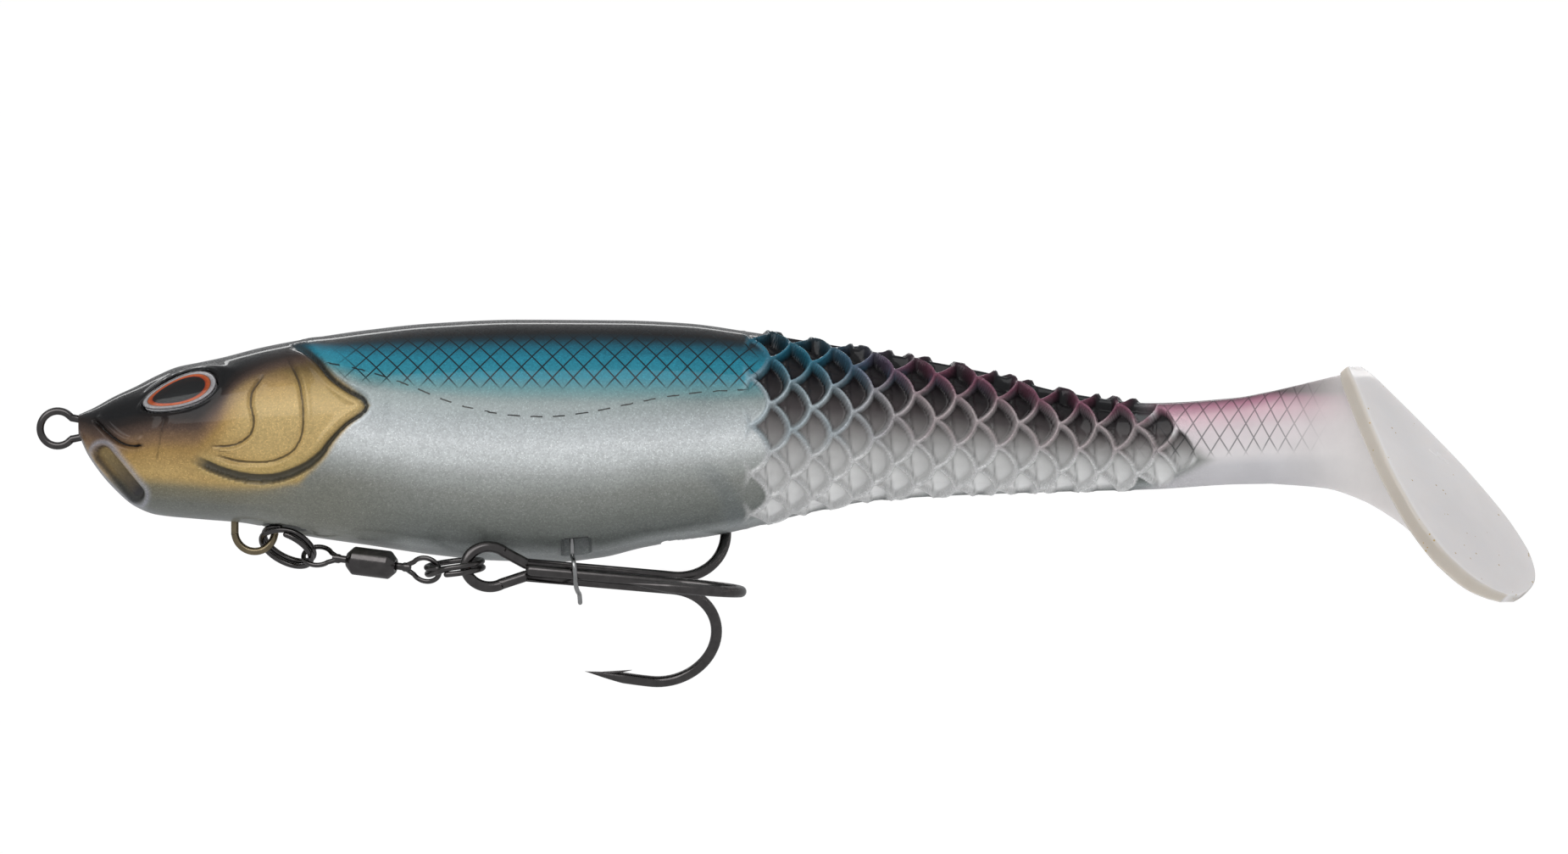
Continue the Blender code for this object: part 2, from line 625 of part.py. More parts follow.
def main():
    clear_scene()
    parts = collection("swimbait")
    cutters = collection("cutters", hidden=True)
    soft = material("soft_pvc", (0.55, 0.62, 0.62), 0.2)
    tail = material("tail_pvc", (0.72, 0.66, 0.70), 0.22)
    steel = material("stainless_wire", (0.42, 0.41, 0.40), 0.25, 1.0)
    brass = material("brass_wire", (0.72, 0.58, 0.32), 0.3, 1.0)
    nickel = material("black_nickel", (0.09, 0.085, 0.085), 0.2, 1.0)
    lead = material("cast_weight", (0.35, 0.36, 0.38), 0.55, 1.0)
    foil = material("eye_foil", (0.75, 0.16, 0.04), 0.3)
    lens = material("eye_lens", (0.9, 0.92, 0.95), 0.03, 0.0, 0.35)

    build_forebody(parts, cutters, soft)
    build_tail(parts, cutters, tail)

    wire("harness_wire", harness_path(), HARNESS_WIRE, parts, steel)
    wire("hanger_wire", hanger_path(), HARNESS_WIRE, parts, brass)
    weight = loft("keel_weight", keel_weight_rings(), parts, lead)
    for name, path in (("harness_bore", harness_path()), ("hanger_bore", hanger_path())):
        bore = wire(name, run_on(path, GAP), HARNESS_WIRE + 0.2, cutters)
        boolean(weight, "DIFFERENCE", as_cutter(bore))
    apply_modifiers(weight)
    for side_name, side in EYE_SIDES:
        eye_solid("eye_foil_" + side_name, side, EYE_FOIL, parts, foil)
        eye_solid("eye_lens_" + side_name, side, EYE_LENS, parts, lens)

    wire("split_ring_front", front_ring_path(), RING_WIRE, parts, nickel)
    wire("split_ring_rear", rear_ring_path(), REAR_RING_WIRE, parts, nickel)
    for name, sign in (("swivel_front_eye", -1), ("swivel_rear_eye", 1)):
        eye, stem = swivel_eye(name, sign, parts, nickel)
        cutters.objects.link(stem)
        parts.objects.unlink(stem)
        boolean(eye, "UNION", as_cutter(stem))
        apply_modifiers(eye)
    mesh_object("swivel_barrel", barrel_mesh("swivel_barrel"), parts, nickel)

    points, taper = treble_double_path()
    wire("treble_double_hook", points, HOOK_WIRE, parts, nickel, radii=taper)
    points, taper = treble_single_path()
    wire("treble_single_hook", points, HOOK_WIRE, parts, nickel, radii=taper)
    wire("hook_keeper_pin", keeper_path(), KEEPER_WIRE, parts, steel)


if __name__ == "__main__":
    main()
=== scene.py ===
"""Looks for the paddle-tail swimbait: a painted soft skin with a scale lattice, and its plated hardware.

Lengths are written in millimetres in the part's frame and turned into metres on the way out.  The skin is
worked out on the straight body, where s is the length along it, and is then bent as the tail lies at rest.
The studio round it is written in metres.
"""

import math

import bmesh
import bpy
import numpy as np
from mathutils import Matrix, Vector


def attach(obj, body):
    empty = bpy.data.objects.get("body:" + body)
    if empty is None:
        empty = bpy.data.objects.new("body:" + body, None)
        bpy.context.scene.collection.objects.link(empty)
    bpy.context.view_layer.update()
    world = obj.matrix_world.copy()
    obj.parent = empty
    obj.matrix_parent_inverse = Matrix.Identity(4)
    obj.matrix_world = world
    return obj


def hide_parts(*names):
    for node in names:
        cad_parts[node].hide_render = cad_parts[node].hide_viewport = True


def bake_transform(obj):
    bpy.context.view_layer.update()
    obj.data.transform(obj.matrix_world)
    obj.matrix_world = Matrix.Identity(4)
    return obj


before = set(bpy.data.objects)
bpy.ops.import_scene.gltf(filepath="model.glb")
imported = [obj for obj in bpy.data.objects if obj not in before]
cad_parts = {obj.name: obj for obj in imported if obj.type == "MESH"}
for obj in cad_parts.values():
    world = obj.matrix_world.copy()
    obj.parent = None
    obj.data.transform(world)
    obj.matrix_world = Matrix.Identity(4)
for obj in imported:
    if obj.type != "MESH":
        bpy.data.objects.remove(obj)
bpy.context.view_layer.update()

MM = 0.001
FAR = 9.0                                  # stands for any distance too great to matter

# --- the soft body's own lines, as (s, height or half width) ------------------------------------
BACK_LINE = ((2.9, 1.9), (4.9, 2.8), (7.8, 4.4), (10.8, 5.8), (13.7, 7.3), (16.6, 8.5), (19.5, 9.1),
             (22.4, 9.7), (28.3, 11.2), (34.1, 12.3), (42.9, 13.6), (51.7, 14.5), (63.4, 15.0), (78.0, 14.9),
             (86.7, 14.5), (95.5, 13.3), (104.3, 11.9), (116.0, 10.0), (127.7, 7.8), (139.3, 4.9),
             (151.0, 3.5), (162.7, 4.2), (168.0, 5.1))
BELLY_LINE = ((2.9, -0.9), (4.4, -4.0), (7.8, -8.3), (10.8, -10.8), (13.7, -11.9), (19.5, -12.5),
              (25.4, -13.0), (34.1, -14.8), (42.9, -16.1), (51.7, -17.4), (60.0, -18.2), (69.0, -18.4),
              (75.0, -17.8), (80.9, -16.4), (92.5, -14.4), (104.2, -11.5), (113.0, -9.9), (124.7, -9.2),
              (139.3, -8.7), (151.0, -8.4), (162.7, -7.7), (168.0, -7.6))
HALF_WIDTH = ((2.9, 1.4), (5.0, 3.5), (9.0, 5.9), (14.0, 8.1), (22.0, 10.3), (34.0, 11.8), (55.0, 12.5),
              (75.0, 11.9), (95.0, 9.8), (115.0, 7.3), (135.0, 5.1), (150.0, 3.8), (165.0, 2.8), (168.0, 2.6))
UPPER_FULLNESS, LOWER_FULLNESS = 2.15, 1.95

# the web that carries the stem into the paddle: (share of the way, s and height of the edge)
WEB_TOP = ((0.0, 168.0, 5.1), (0.5, 174.2, 6.4), (1.0, 180.0, 7.6))
WEB_FOOT = ((0.0, 168.0, -7.6), (0.3, 176.3, -8.2), (0.5, 182.1, -9.8), (0.7, 187.5, -12.5),
            (0.85, 192.9, -16.1), (1.0, 203.2, -20.9))
WEB_HALF_WIDTH = ((0.0, 2.6), (0.4, 1.6), (1.0, 1.1))
PADDLE_TOP, PADDLE_END, PADDLE_THICK = (180.4, 8.0), (205.7, -23.2), 2.35
PADDLE_SHAPE = ((0.0, 2.0), (0.03, 2.9), (0.1, 4.2), (0.3, 7.9), (0.5, 10.9), (0.7, 12.3), (0.8, 11.9),
                (0.88, 10.4), (0.94, 8.2), (0.98, 5.0), (1.0, 2.2))
PADDLE_RIM = 0.5
# no head line is cut behind HEAD_REACH; the web runs between the other two
HEAD_REACH, WEB_START, WEB_END = 46.0, 168.0, 182.0

# how the tail lies at rest: (middle of a bend, its turn in degrees), each spread over BEND_SPREAD
BENDS, BEND_SPREAD = ((143.0, -13.0), (168.0, -19.0)), 12.0
# each stretch of skin: name, where it ends, the two bodies it lies between, where the bend between them
# starts and ends
STRETCHES = (("skin_front", 98.5, None, 0.0, 0.0),
             ("skin_lattice_front", 114.25, ("forebody", "honeycomb_front"), 101.0, 112.0),
             ("skin_lattice_rear", 132.5, ("honeycomb_front", "honeycomb_rear"), 116.5, 127.5),
             ("skin_stem", 155.5, ("honeycomb_rear", "peduncle"), 137.0, 149.0),
             ("skin_tail_root", 999.0, ("peduncle", "paddle_tail"), 162.0, 174.0))

CELL_HALF_LONG, CELL_HALF_TALL, CELL_BULGE = 2.85, 3.35, 1.62
RIB_HALF_WIDE, RIB_FLANK, RIB_PROUD = 0.20, 0.34, 0.38
LATTICE_START, LATTICE_ORIGIN = 95.6, 98.1   # front of the ribs, and the middle of one row of scales
LATTICE_END = ((-6.5, 149.0), (-1.2, 158.5), (6.6, 149.5))     # girth from LATTICE_ROW, s where the ribs end
NET_BODY, NET_STEM = (2.85, 3.3), (2.5, 3.9)                  # length and height of the printed diamonds
LATTICE_ROW = ((94.0, 0.55), (126.5, -2.4), (160.0, -3.2))     # the height one row of rib crossings follows

EYE_S, EYE_HEIGHT, EYE_TILT, EYE_LONG, EYE_TALL, EYE_EGG = 17.0, 5.0, 13.0, 5.4, 2.6, 0.26

# lines modelled on the head, as (s, height)
GILL_EDGE = ((31.8, 11.6), (34.3, 11.0), (36.2, 9.4), (38.0, 7.2), (40.4, 5.4), (42.4, 4.3), (43.0, 3.1),
             (42.4, 2.0), (40.2, 0.5), (38.2, -1.7), (36.7, -3.9), (34.3, -5.9), (30.6, -7.3), (26.9, -7.4),
             (23.3, -6.6), (20.2, -5.3), (18.4, -4.2))
CHEEK_EDGE = ((28.9, 7.7), (27.2, 5.4), (26.9, 3.4), (27.3, 1.4), (27.1, -0.3), (26.0, -1.6), (24.0, -2.4),
              (21.2, -2.4))
COVER_EDGE = ((31.6, 9.9), (32.6, 8.4), (33.6, 6.2), (34.1, 3.0), (34.1, 0.0), (33.5, -2.0), (32.2, -3.5),
              (29.3, -4.6), (25.0, -4.5), (21.4, -3.3))
MOUTH_SLIT = ((5.0, 1.4), (6.7, -0.4), (8.5, -1.8), (10.3, -2.4), (12.2, -2.2))
LIP_FOLD = ((15.0, 1.8), (14.4, -1.2), (13.9, -4.4))
JAW_HOLLOW = ((6.4, -3.6), (8.6, -6.2), (10.9, -9.0))
LATERAL_LINE = ((37.8, 8.7), (42.2, 8.0), (48.2, 6.1), (54.2, 3.7), (60.0, 2.2), (66.8, 1.6), (73.2, 2.2),
                (81.6, 3.9), (88.0, 4.9), (94.5, 5.3))
# the lateral line: its length, one dash with its gap, and the dash's share of that
LATERAL_RUN, DASH_PITCH, DASH_SHARE = 58.8, 3.2, 0.54
HEAD_BLACK_FOOT = ((2.9, 1.2), (7.3, 0.2), (11.0, 0.9), (14.3, 1.4), (19.0, 1.4), (22.0, 3.6), (24.5, 6.6),
                   (27.0, 8.3), (31.0, 9.8), (40.0, 11.5))
# where the painted head ends, by height
HEAD_END = ((-9, 36), (-7.6, 33.5), (-5.9, 34.6), (-3.9, 37.0), (-1.7, 38.5), (0.5, 40.5), (3.1, 43.0),
            (5.4, 40.7), (7.2, 38.3), (9.4, 36.4), (11.6, 32.2))
# the upper hook's shadow in the belly
HOOK_SHADOW_PATH = ((87.5, -5.2), (90.6, -6.8), (92.6, -9.4), (93.4, -12.6))

# the studio, in metres
STAGE_X, FLOOR_RADIUS, FLOOR_HEIGHT, SURROUND_RADIUS = 0.1, 0.85, -0.085, 5.6

# the hook chain, as in the part
WIRE, LINE_TIE_RADIUS = 0.52, 2.4
HANGER_CENTRE, HANGER_RADIUS = (27.2, 0.0, -14.2), 2.75
RING_WIRE = 0.40
FRONT_RING = ((31.75, -0.48, -16.28), (6.6, -1.65, -2.35), 55.0, 3.75)
REAR_RING = ((54.9, -6.75, -19.1), (7.6, -2.6, 0.6), 98.0, 3.85)
EYE_WIRE, STEM_RADIUS, EYE_HALF_LONG, EYE_HALF_WIDE, EYE_REACH = 0.34, 0.50, 2.0, 1.75, 4.3
SWIVEL_ROLLS = {-1: 45.0, 1: 22.0}
BARREL_AT, SWIVEL_DIRECTION = (43.4, -3.45, -18.5), (14.5, -3.9, -1.8)
BARREL_RADIUS, BARREL_LENGTH = 1.95, 7.0
TREBLE_AT, TREBLE_YAW, TREBLE_PITCH = (59.65, -8.0, -19.0), 12.0, -5.0
HOOK_EYE_HALF_LONG, HOOK_EYE_HALF_TALL = 3.3, 2.75
HOOK_WIRE, HOOK_LENGTH, HOOK_BEND, HOOK_POINT = 0.77, 25.9, 7.7, 9.6
HOOK_ROLLS = {"lower": 33.0, "upper": 153.0, "near": -87.0}
SLOT_FRONT, SLOT_REAR, SLOT_ROOF, SLOT_FAR_WALL = -10.8, 10.8, 15.9, 10.0
KEEPER_STATION, KEEPER_ROOM = 12.1, (3.4, 2.8, 8.2)
KEEPER_WIRE = 0.32
KEEPER_ROUTE = ((-0.6, 0.1, 9.0), (-0.4, 0.1, 3.1), (-0.35, -0.6, 2.5), (-0.2, -2.3, 1.9), (-0.1, -3.0, 1.2),
                (0.1, -3.05, -0.9), (0.2, -2.6, -1.8), (0.4, -1.4, -2.4), (0.6, -0.5, -2.8),
                (0.7, -0.3, -3.9))


# --- curves and ramps ---------------------------------------------------------------------------
def through(points, x, column=1):
    """A smooth curve through points sorted by their first number, read at every x."""
    px = np.array([p[0] for p in points], float)
    py = np.array([p[column] for p in points], float)
    chord = np.diff(py) / np.diff(px)
    slope = np.concatenate([chord[:1], np.zeros(len(px) - 2), chord[-1:]])
    pair = chord[:-1] * chord[1:]
    inner = np.where(pair > 0, 2 * pair / np.where(pair > 0, chord[:-1] + chord[1:], 1.0), 0.0)
    slope[1:-1] = inner
    x = np.clip(x, px[0], px[-1])
    i = np.clip(np.searchsorted(px, x) - 1, 0, len(px) - 2)
    width = px[i + 1] - px[i]
    t = (x - px[i]) / width
    return ((1 + 2 * t) * (1 - t) ** 2 * py[i] + t * (1 - t) ** 2 * width * slope[i]
            + t * t * (3 - 2 * t) * py[i + 1] + t * t * (t - 1) * width * slope[i + 1])


def step(low, high, x):
    """0 below low, 1 above high, smooth between."""
    t = np.clip((x - low) / (high - low), 0.0, 1.0)
    return t * t * (3 - 2 * t)


def ramp(x, stops):
    """Colours read along stops of (place, colour)."""
    places = [p for p, _ in stops]
    return np.stack([np.interp(x, places, [c[k] for _, c in stops]) for k in range(3)], axis=-1)


def mix(a, b, share):
    share = np.asarray(share)[..., None]
    return a * (1 - share) + np.asarray(b) * share


def smooth_path(points, spacing=0.25):
    """Points along a smooth curve through the given ones."""
    p = np.array(points, float)
    out = []
    for i in range(len(p) - 1):
        a, b, c, d = p[max(i - 1, 0)], p[i], p[i + 1], p[min(i + 2, len(p) - 1)]
        n = max(2, int(np.linalg.norm(c - b) / spacing))
        for t in np.arange(n) / n:
            out.append(0.5 * (2 * b + (c - a) * t + (2 * a - 5 * b + 4 * c - d) * t ** 2
                              + (3 * b - a - 3 * c + d) * t ** 3))
    out.append(p[-1])
    return np.array(out)


def from_line(s, z, line):
    """Distance of each point from a line on the flank, which side of it, and how far along it (0 to 1)."""
    path = smooth_path(line)
    heading = np.gradient(path, axis=0)
    box = ((s > path[:, 0].min() - 3) & (s < path[:, 0].max() + 3)
           & (z > path[:, 1].min() - 3) & (z < path[:, 1].max() + 3))
    gap = np.full(s.shape, FAR)
    side = np.ones(s.shape)
    along = np.zeros(s.shape)
    ps, pz = s[box], z[box]
    away = np.hypot(ps[:, None] - path[None, :, 0], pz[:, None] - path[None, :, 1])
    near = away.argmin(axis=1)
    gap[box] = away.min(axis=1)
    lean = (ps - path[near, 0]) * heading[near, 1] - (pz - path[near, 1]) * heading[near, 0]
    side[box] = np.where(lean < 0, -1.0, 1.0)
    along[box] = near / (len(path) - 1)
    return gap, side, along


# --- the skin on the straight body --------------------------------------------------------------
def rows_of(s_values):
    """Foot and top of each row of the skin as (s, height), and its half width."""
    s_values = np.asarray(s_values)
    share = np.clip((s_values - WEB_START) / (WEB_END - WEB_START), 0.0, 1.0)
    on_web = s_values > WEB_START
    foot_s = np.where(on_web, through(WEB_FOOT, share, 1), s_values)
    foot_z = np.where(on_web, through(WEB_FOOT, share, 2), through(BELLY_LINE, s_values))
    top_s = np.where(on_web, through(WEB_TOP, share, 1), s_values)
    top_z = np.where(on_web, through(WEB_TOP, share, 2), through(BACK_LINE, s_values))
    wide = np.where(on_web, through(WEB_HALF_WIDTH, share, 1), through(HALF_WIDTH, s_values))
    return foot_s, foot_z, top_s, top_z, wide


def half_section(foot, top, wide, count):
    """Evenly spaced points of a section's left half, from belly to back, and their girth from the belly."""
    turn = np.linspace(-math.pi / 2, math.pi / 2, 260)
    across, up = np.cos(turn), np.sin(turn)
    fullness = np.where(up > 0, UPPER_FULLNESS, LOWER_FULLNESS)
    y = -wide * np.abs(across) ** (2 / fullness)
    share = 0.5 + 0.5 * np.sign(up) * np.abs(up) ** (2 / fullness)
    tall = top - foot
    girth = np.concatenate([[0], np.cumsum(np.hypot(np.diff(y), np.diff(share * tall)))])
    even = np.linspace(0, girth[-1], count)
    return np.interp(even, girth, y), np.interp(even, girth, share), even


def skin_grid(s_values, columns):
    """Skin points row by row: columns run from the belly up the left flank and down the right one."""
    foot_s, foot_z, top_s, top_z, wide = rows_of(s_values)
    points = np.zeros((len(s_values), 2 * columns - 2, 3))
    girths, to_back = np.zeros(points.shape[:2]), np.zeros(points.shape[:2])
    for r in range(len(s_values)):
        y, share, girth = half_section(foot_z[r], top_z[r], wide[r], columns)
        s = foot_s[r] + (top_s[r] - foot_s[r]) * share
        z = foot_z[r] + (top_z[r] - foot_z[r]) * share
        level = np.interp(through(LATTICE_ROW, s_values[r]), z, girth)
        left = np.stack([s, y, z], axis=-1)
        right = left[1:-1][::-1] * (1, -1, 1)
        points[r] = np.concatenate([left, right])
        girths[r] = np.concatenate([girth, girth[1:-1][::-1]]) - level
        to_back[r] = girth[-1] - level - girths[r]
    return points, girths, to_back


def grid_normals(points):
    """The outward direction at each point of a grid of rows that close on themselves."""
    along = np.gradient(points, axis=0)
    round_it = np.roll(points, -1, axis=1) - np.roll(points, 1, axis=1)
    normal = np.cross(along, round_it)
    normal /= np.linalg.norm(normal, axis=-1, keepdims=True) + 1e-12
    return normal


def rib_distance(u, v):
    """Distance in mm to the nearest rib: each rib is the rounded rear edge of one scale."""
    a, b, p = CELL_HALF_LONG, CELL_HALF_TALL, CELL_BULGE
    row = np.round(v / b)
    gap = np.full(u.shape, FAR)
    for dj in (-2, -1, 0, 1, 2):
        shift = np.mod(row + dj, 2) * a
        column = np.round((u - shift) / (2 * a))
        for di in (-1, 0, 1):
            x = u - shift - (column + di) * 2 * a
            xa, ya = np.clip(x, 1e-6, None) / a, np.clip(np.abs(v - (row + dj) * b), 1e-6, None) / b
            f = (xa ** p + ya ** p) ** (1 / p)
            slope = f ** (1 - p) * np.hypot(xa ** (p - 1) / a, ya ** (p - 1) / b)
            gap = np.minimum(gap, np.where(x > -0.15, np.abs(f - 1) / slope, FAR))
    return gap


def scale_cell(u, v):
    """The scale a point lies in: its middle, how far back in it the point lies (0 to 1) and how far up."""
    a, b, p = CELL_HALF_LONG, CELL_HALF_TALL, CELL_BULGE
    ahead, behind = np.full(u.shape, 99.0), np.full(u.shape, 99.0)
    middle_u, middle_v = np.zeros(u.shape), np.zeros(u.shape)
    for row in (np.floor(v / b), np.floor(v / b) + 1):
        shift = np.mod(row, 2) * a
        bulge = a * np.clip(1 - np.abs(v / b - row) ** p, 0, 1) ** (1 / p)
        column = np.ceil((u - shift - bulge) / (2 * a))
        reach = shift + bulge + 2 * a * column - u
        nearer = reach < ahead
        ahead = np.where(nearer, reach, ahead)
        middle_u = np.where(nearer, shift + 2 * a * column, middle_u)
        middle_v = np.where(nearer, row * b, middle_v)
        behind = np.minimum(behind, 2 * a - reach)
    return middle_u, middle_v, behind / (ahead + behind + 1e-6), (v - middle_v) / b


def eye_frame(side):
    """Centre, outward normal, long and short axis of an eye; side is 1 for the left one."""
    top, foot = float(through(BACK_LINE, EYE_S)), float(through(BELLY_LINE, EYE_S))
    wide = float(through(HALF_WIDTH, EYE_S))
    middle = 0.5 * (top + foot)
    angle = math.asin(((EYE_HEIGHT - middle) / (top - middle)) ** (UPPER_FULLNESS / 2))

    def at(s, turn):
        t, f, w = float(through(BACK_LINE, s)), float(through(BELLY_LINE, s)), float(through(HALF_WIDTH, s))
        m = 0.5 * (t + f)
        power = 2 / UPPER_FULLNESS
        return Vector((s, -w * math.cos(turn) ** power, m + (t - m) * math.sin(turn) ** power))

    here = at(EYE_S, angle)
    normal = (at(EYE_S + 0.5, angle) - here).cross(at(EYE_S, angle + 0.05) - here).normalized()
    tilt = math.radians(EYE_TILT)
    long_axis = Vector((math.cos(tilt), 0, math.sin(tilt)))
    long_axis = (long_axis - normal * long_axis.dot(normal)).normalized()
    short_axis = normal.cross(long_axis)
    return [Vector((v.x, side * v.y, v.z)) for v in (here, normal, long_axis, short_axis)]


def eye_radius(points):
    """How far out a point of either flank lies in the eye's egg shape: 1 at its rim."""
    here, normal, long_axis, short_axis = (np.array(v) for v in eye_frame(1))
    mirrored = points * (1, -1, 1)
    flank = np.where(points[..., 1:2] > 0, mirrored, points) - here
    a = flank @ long_axis / EYE_LONG
    b = flank @ short_axis / EYE_TALL
    b = b / (1 + EYE_EGG * np.clip(a, -1, 1))
    return np.hypot(a, b)


def groove(gap, width, depth):
    return -depth * np.exp(-(gap / width) ** 2)


def head_lines(s, z, points):
    """Distances from the gill edge and from the nearest finer fold, and how fully each is cut."""
    flank = step(1.0, 2.6, np.abs(points[..., 1]))
    gap, side, along = from_line(s, z, GILL_EDGE)
    gill, gill_cut = gap * side, flank * step(0.0, 0.08, along) * step(0.0, 0.07, 1 - along)
    gill_wide = 0.14 + 0.34 * step(0.42, 0.66, along)
    fold, fold_cut = np.full(s.shape, FAR), np.zeros(s.shape)
    for line, strength in ((CHEEK_EDGE, 0.85), (COVER_EDGE, 0.8), (MOUTH_SLIT, 1.3), (LIP_FOLD, 0.3)):
        gap, side, along = from_line(s, z, line)
        nearer = gap < np.abs(fold)
        fold = np.where(nearer, gap * side, fold)
        cut = flank * strength * step(0.0, 0.12, along) * step(0.0, 0.12, 1 - along)
        fold_cut = np.where(nearer, cut, fold_cut)
    return gill, gill_cut, gill_wide, fold, fold_cut


def head_relief(s, z, points):
    """Height of the modelled lines of the head over the plain skin."""
    gill, gill_cut, gill_wide, fold, fold_cut = head_lines(s, z, points)
    inner, outer = np.clip(-gill, 0, None), np.clip(gill, 0, None)
    plate = np.where(gill < 0, 0.45 * np.exp(-(inner / 2.6) ** 2), 0.0)
    lip = np.where(gill > 0, 0.24 * np.exp(-((outer - 1.1 - gill_wide) / 0.40) ** 2), 0.0)
    height = gill_cut * (plate + lip - 0.75 * np.exp(-((gill - gill_wide) / (0.24 + gill_wide)) ** 2))
    height += fold_cut * (groove(fold, 0.30, 0.55)
                          + np.where(fold < 0, 0.22 * np.exp(-((fold + 0.75) / 0.38) ** 2), 0.0))
    gap, _, _ = from_line(s, z, JAW_HOLLOW)
    flank = step(1.2, 3.0, np.abs(points[..., 1]))
    height += flank * (-0.8 * step(1.35, 0.75, gap) + 0.30 * np.exp(-((gap - 1.75) / 0.42) ** 2))
    rim = eye_radius(points)
    above = step(0.0, 2.0, z - (EYE_HEIGHT + 0.23 * (s - EYE_S)))
    height += 0.5 * above * np.exp(-((rim - 1.25) / 0.28) ** 2)
    height += 0.20 * np.exp(-((rim - 1.12) / 0.06) ** 2)
    return height + np.where(rim < 1.04, -1.55 * step(0.0, 0.07, 1.04 - rim), 0.0)


def far_kept_far(distance):
    """Signed distances that grow steeply away from a line, so that none passes through nought elsewhere."""
    size = np.abs(distance)
    return np.sign(distance) * np.where(size > 0.8, 0.8 + (size - 0.8) * 30, size)


def body_height(s, z):
    """Height on the body as a share, 0 at the belly line and 1 at the back line."""
    top, foot = through(BACK_LINE, s), through(BELLY_LINE, s)
    return (z - foot) / (top - foot)


BLACK = (0.006, 0.006, 0.007)


def plain(colour, s):
    """One colour for every point."""
    return np.broadcast_to(colour, s.shape + (3,))


def flank_colour(s, z):
    teal_foot = np.interp(s, (36, 42, 50, 62, 75, 90, 98), (8.6, 6.6, 5.6, 5.0, 4.8, 4.8, 5.0))
    black_foot = np.interp(s, (36, 50, 62, 75, 90, 98), (11.6, 12.4, 12.7, 12.8, 12.2, 11.4))
    q = (z - teal_foot) / (black_foot - teal_foot)
    back = ramp(q, ((-0.45, (0.40, 0.45, 0.45)), (-0.15, (0.26, 0.33, 0.33)), (0.06, (0.12, 0.27, 0.29)),
                    (0.28, (0.028, 0.24, 0.32)), (0.60, (0.016, 0.21, 0.30)), (0.80, (0.010, 0.12, 0.18)),
                    (0.94, (0.007, 0.03, 0.045)), (1.05, BLACK)))
    p = (teal_foot - z) / (teal_foot - through(BELLY_LINE, s))
    # down the flank: silver pearl paint, with a painted highlight in the bright band near 0.32 and painted
    # shade darkening the lower flank beyond 0.5
    side = ramp(p, ((0.0, (0.27, 0.33, 0.33)), (0.10, (0.38, 0.43, 0.43)), (0.20, (0.56, 0.60, 0.61)),
                    (0.32, (0.76, 0.79, 0.80)), (0.41, (0.68, 0.71, 0.71)), (0.50, (0.44, 0.46, 0.45)),
                    (0.62, (0.27, 0.282, 0.262)), (0.78, (0.175, 0.187, 0.172)),
                    (0.90, (0.135, 0.148, 0.142)), (0.955, (0.30, 0.32, 0.32)), (1.0, (0.15, 0.162, 0.16))))
    colour = mix(side, back, step(-0.30, -0.05, q))
    # painted shadow: the upper hook's dark shape in the belly
    colour = mix(colour, (0.15, 0.175, 0.19), 0.3 * painted_hook_shadow(s, z))
    front = step(52.0, 36.0, s) * step(-3.0, -9.0, z)
    return mix(colour, (0.20, 0.20, 0.165), 0.7 * front)


def painted_hook_shadow(s, z):
    """Painted shadow of the upper hook: its soft dark shape as seen through the clear belly, painted into the
    skin's colour.
    """
    gap, _, along = from_line(s, z, HOOK_SHADOW_PATH)
    return step(2.3, 0.3, gap) * step(0.0, 0.35, along)


def head_colour(s, z):
    black_foot = through(HEAD_BLACK_FOOT, s)
    drop = black_foot - z
    brown = ramp(drop, ((-1.2, BLACK), (0.0, (0.020, 0.013, 0.011)), (1.4, (0.10, 0.062, 0.045)),
                        (3.0, (0.25, 0.15, 0.075)), (4.4, (0.40, 0.25, 0.085)), (7.0, (0.50, 0.34, 0.13))))
    cover = ramp(z, ((-8.0, (0.40, 0.29, 0.12)), (-6.0, (0.50, 0.35, 0.12)), (-3.0, (0.60, 0.44, 0.19)),
                     (3.0, (0.62, 0.47, 0.22)), (6.0, (0.42, 0.29, 0.11)), (8.2, (0.13, 0.085, 0.03)),
                     (10.4, BLACK)))
    cover = np.minimum(cover, 1.15 * np.maximum(brown, 0.02)) * 0.4 + cover * 0.6
    colour = mix(brown, cover, step(22.0, 28.5, s + 0.2 * z) * step(0.5, 2.5, drop))
    under = z + 6.9 + 0.07 * (s - 12.0)
    grey = ramp(under, ((-6.0, (0.17, 0.18, 0.175)), (-3.0, (0.155, 0.16, 0.14)), (-1.2, (0.19, 0.175, 0.12)),
                        (0.4, (0.34, 0.26, 0.12))))
    return mix(grey, colour, step(-0.9, 0.9, under))


def tail_colours(s, z):
    """Colours of the lattice's ribs and of its sunken cells."""
    h = body_height(s, z)
    rear = step(103.0, 121.0, s)
    high = mix(plain((0.030, 0.17, 0.25), s), (0.20, 0.075, 0.115), rear)
    mid = mix(plain((0.42, 0.48, 0.51), s), (0.44, 0.385, 0.39), rear)
    low = plain((0.68, 0.68, 0.68), s)
    rib = mix(mix(low, mid, step(0.30, 0.50, h)), high, step(0.64, 0.90, h))
    rib = mix(rib, (0.010, 0.009, 0.012), 0.75 * step(0.93, 1.0, h))
    cell = ramp(h, ((0.0, (0.74, 0.74, 0.74)), (0.18, (0.68, 0.68, 0.675)), (0.34, (0.54, 0.535, 0.53)),
                    (0.48, (0.30, 0.285, 0.28)), (0.62, (0.100, 0.085, 0.086)), (0.78, (0.018, 0.013, 0.015)),
                    (1.0, BLACK)))
    return rib, cell


def stem_colour(s, z):
    h = body_height(s, z)
    stem = ramp(h, ((0.0, (0.47, 0.46, 0.48)), (0.22, (0.58, 0.57, 0.59)), (0.34, (0.76, 0.73, 0.74)),
                    (0.62, (0.77, 0.69, 0.715)), (0.82, (0.66, 0.45, 0.51)), (0.93, (0.40, 0.19, 0.26)),
                    (1.0, (0.05, 0.02, 0.03))))
    return mix(stem, (0.74, 0.71, 0.70), step(166.0, 186.0, s))


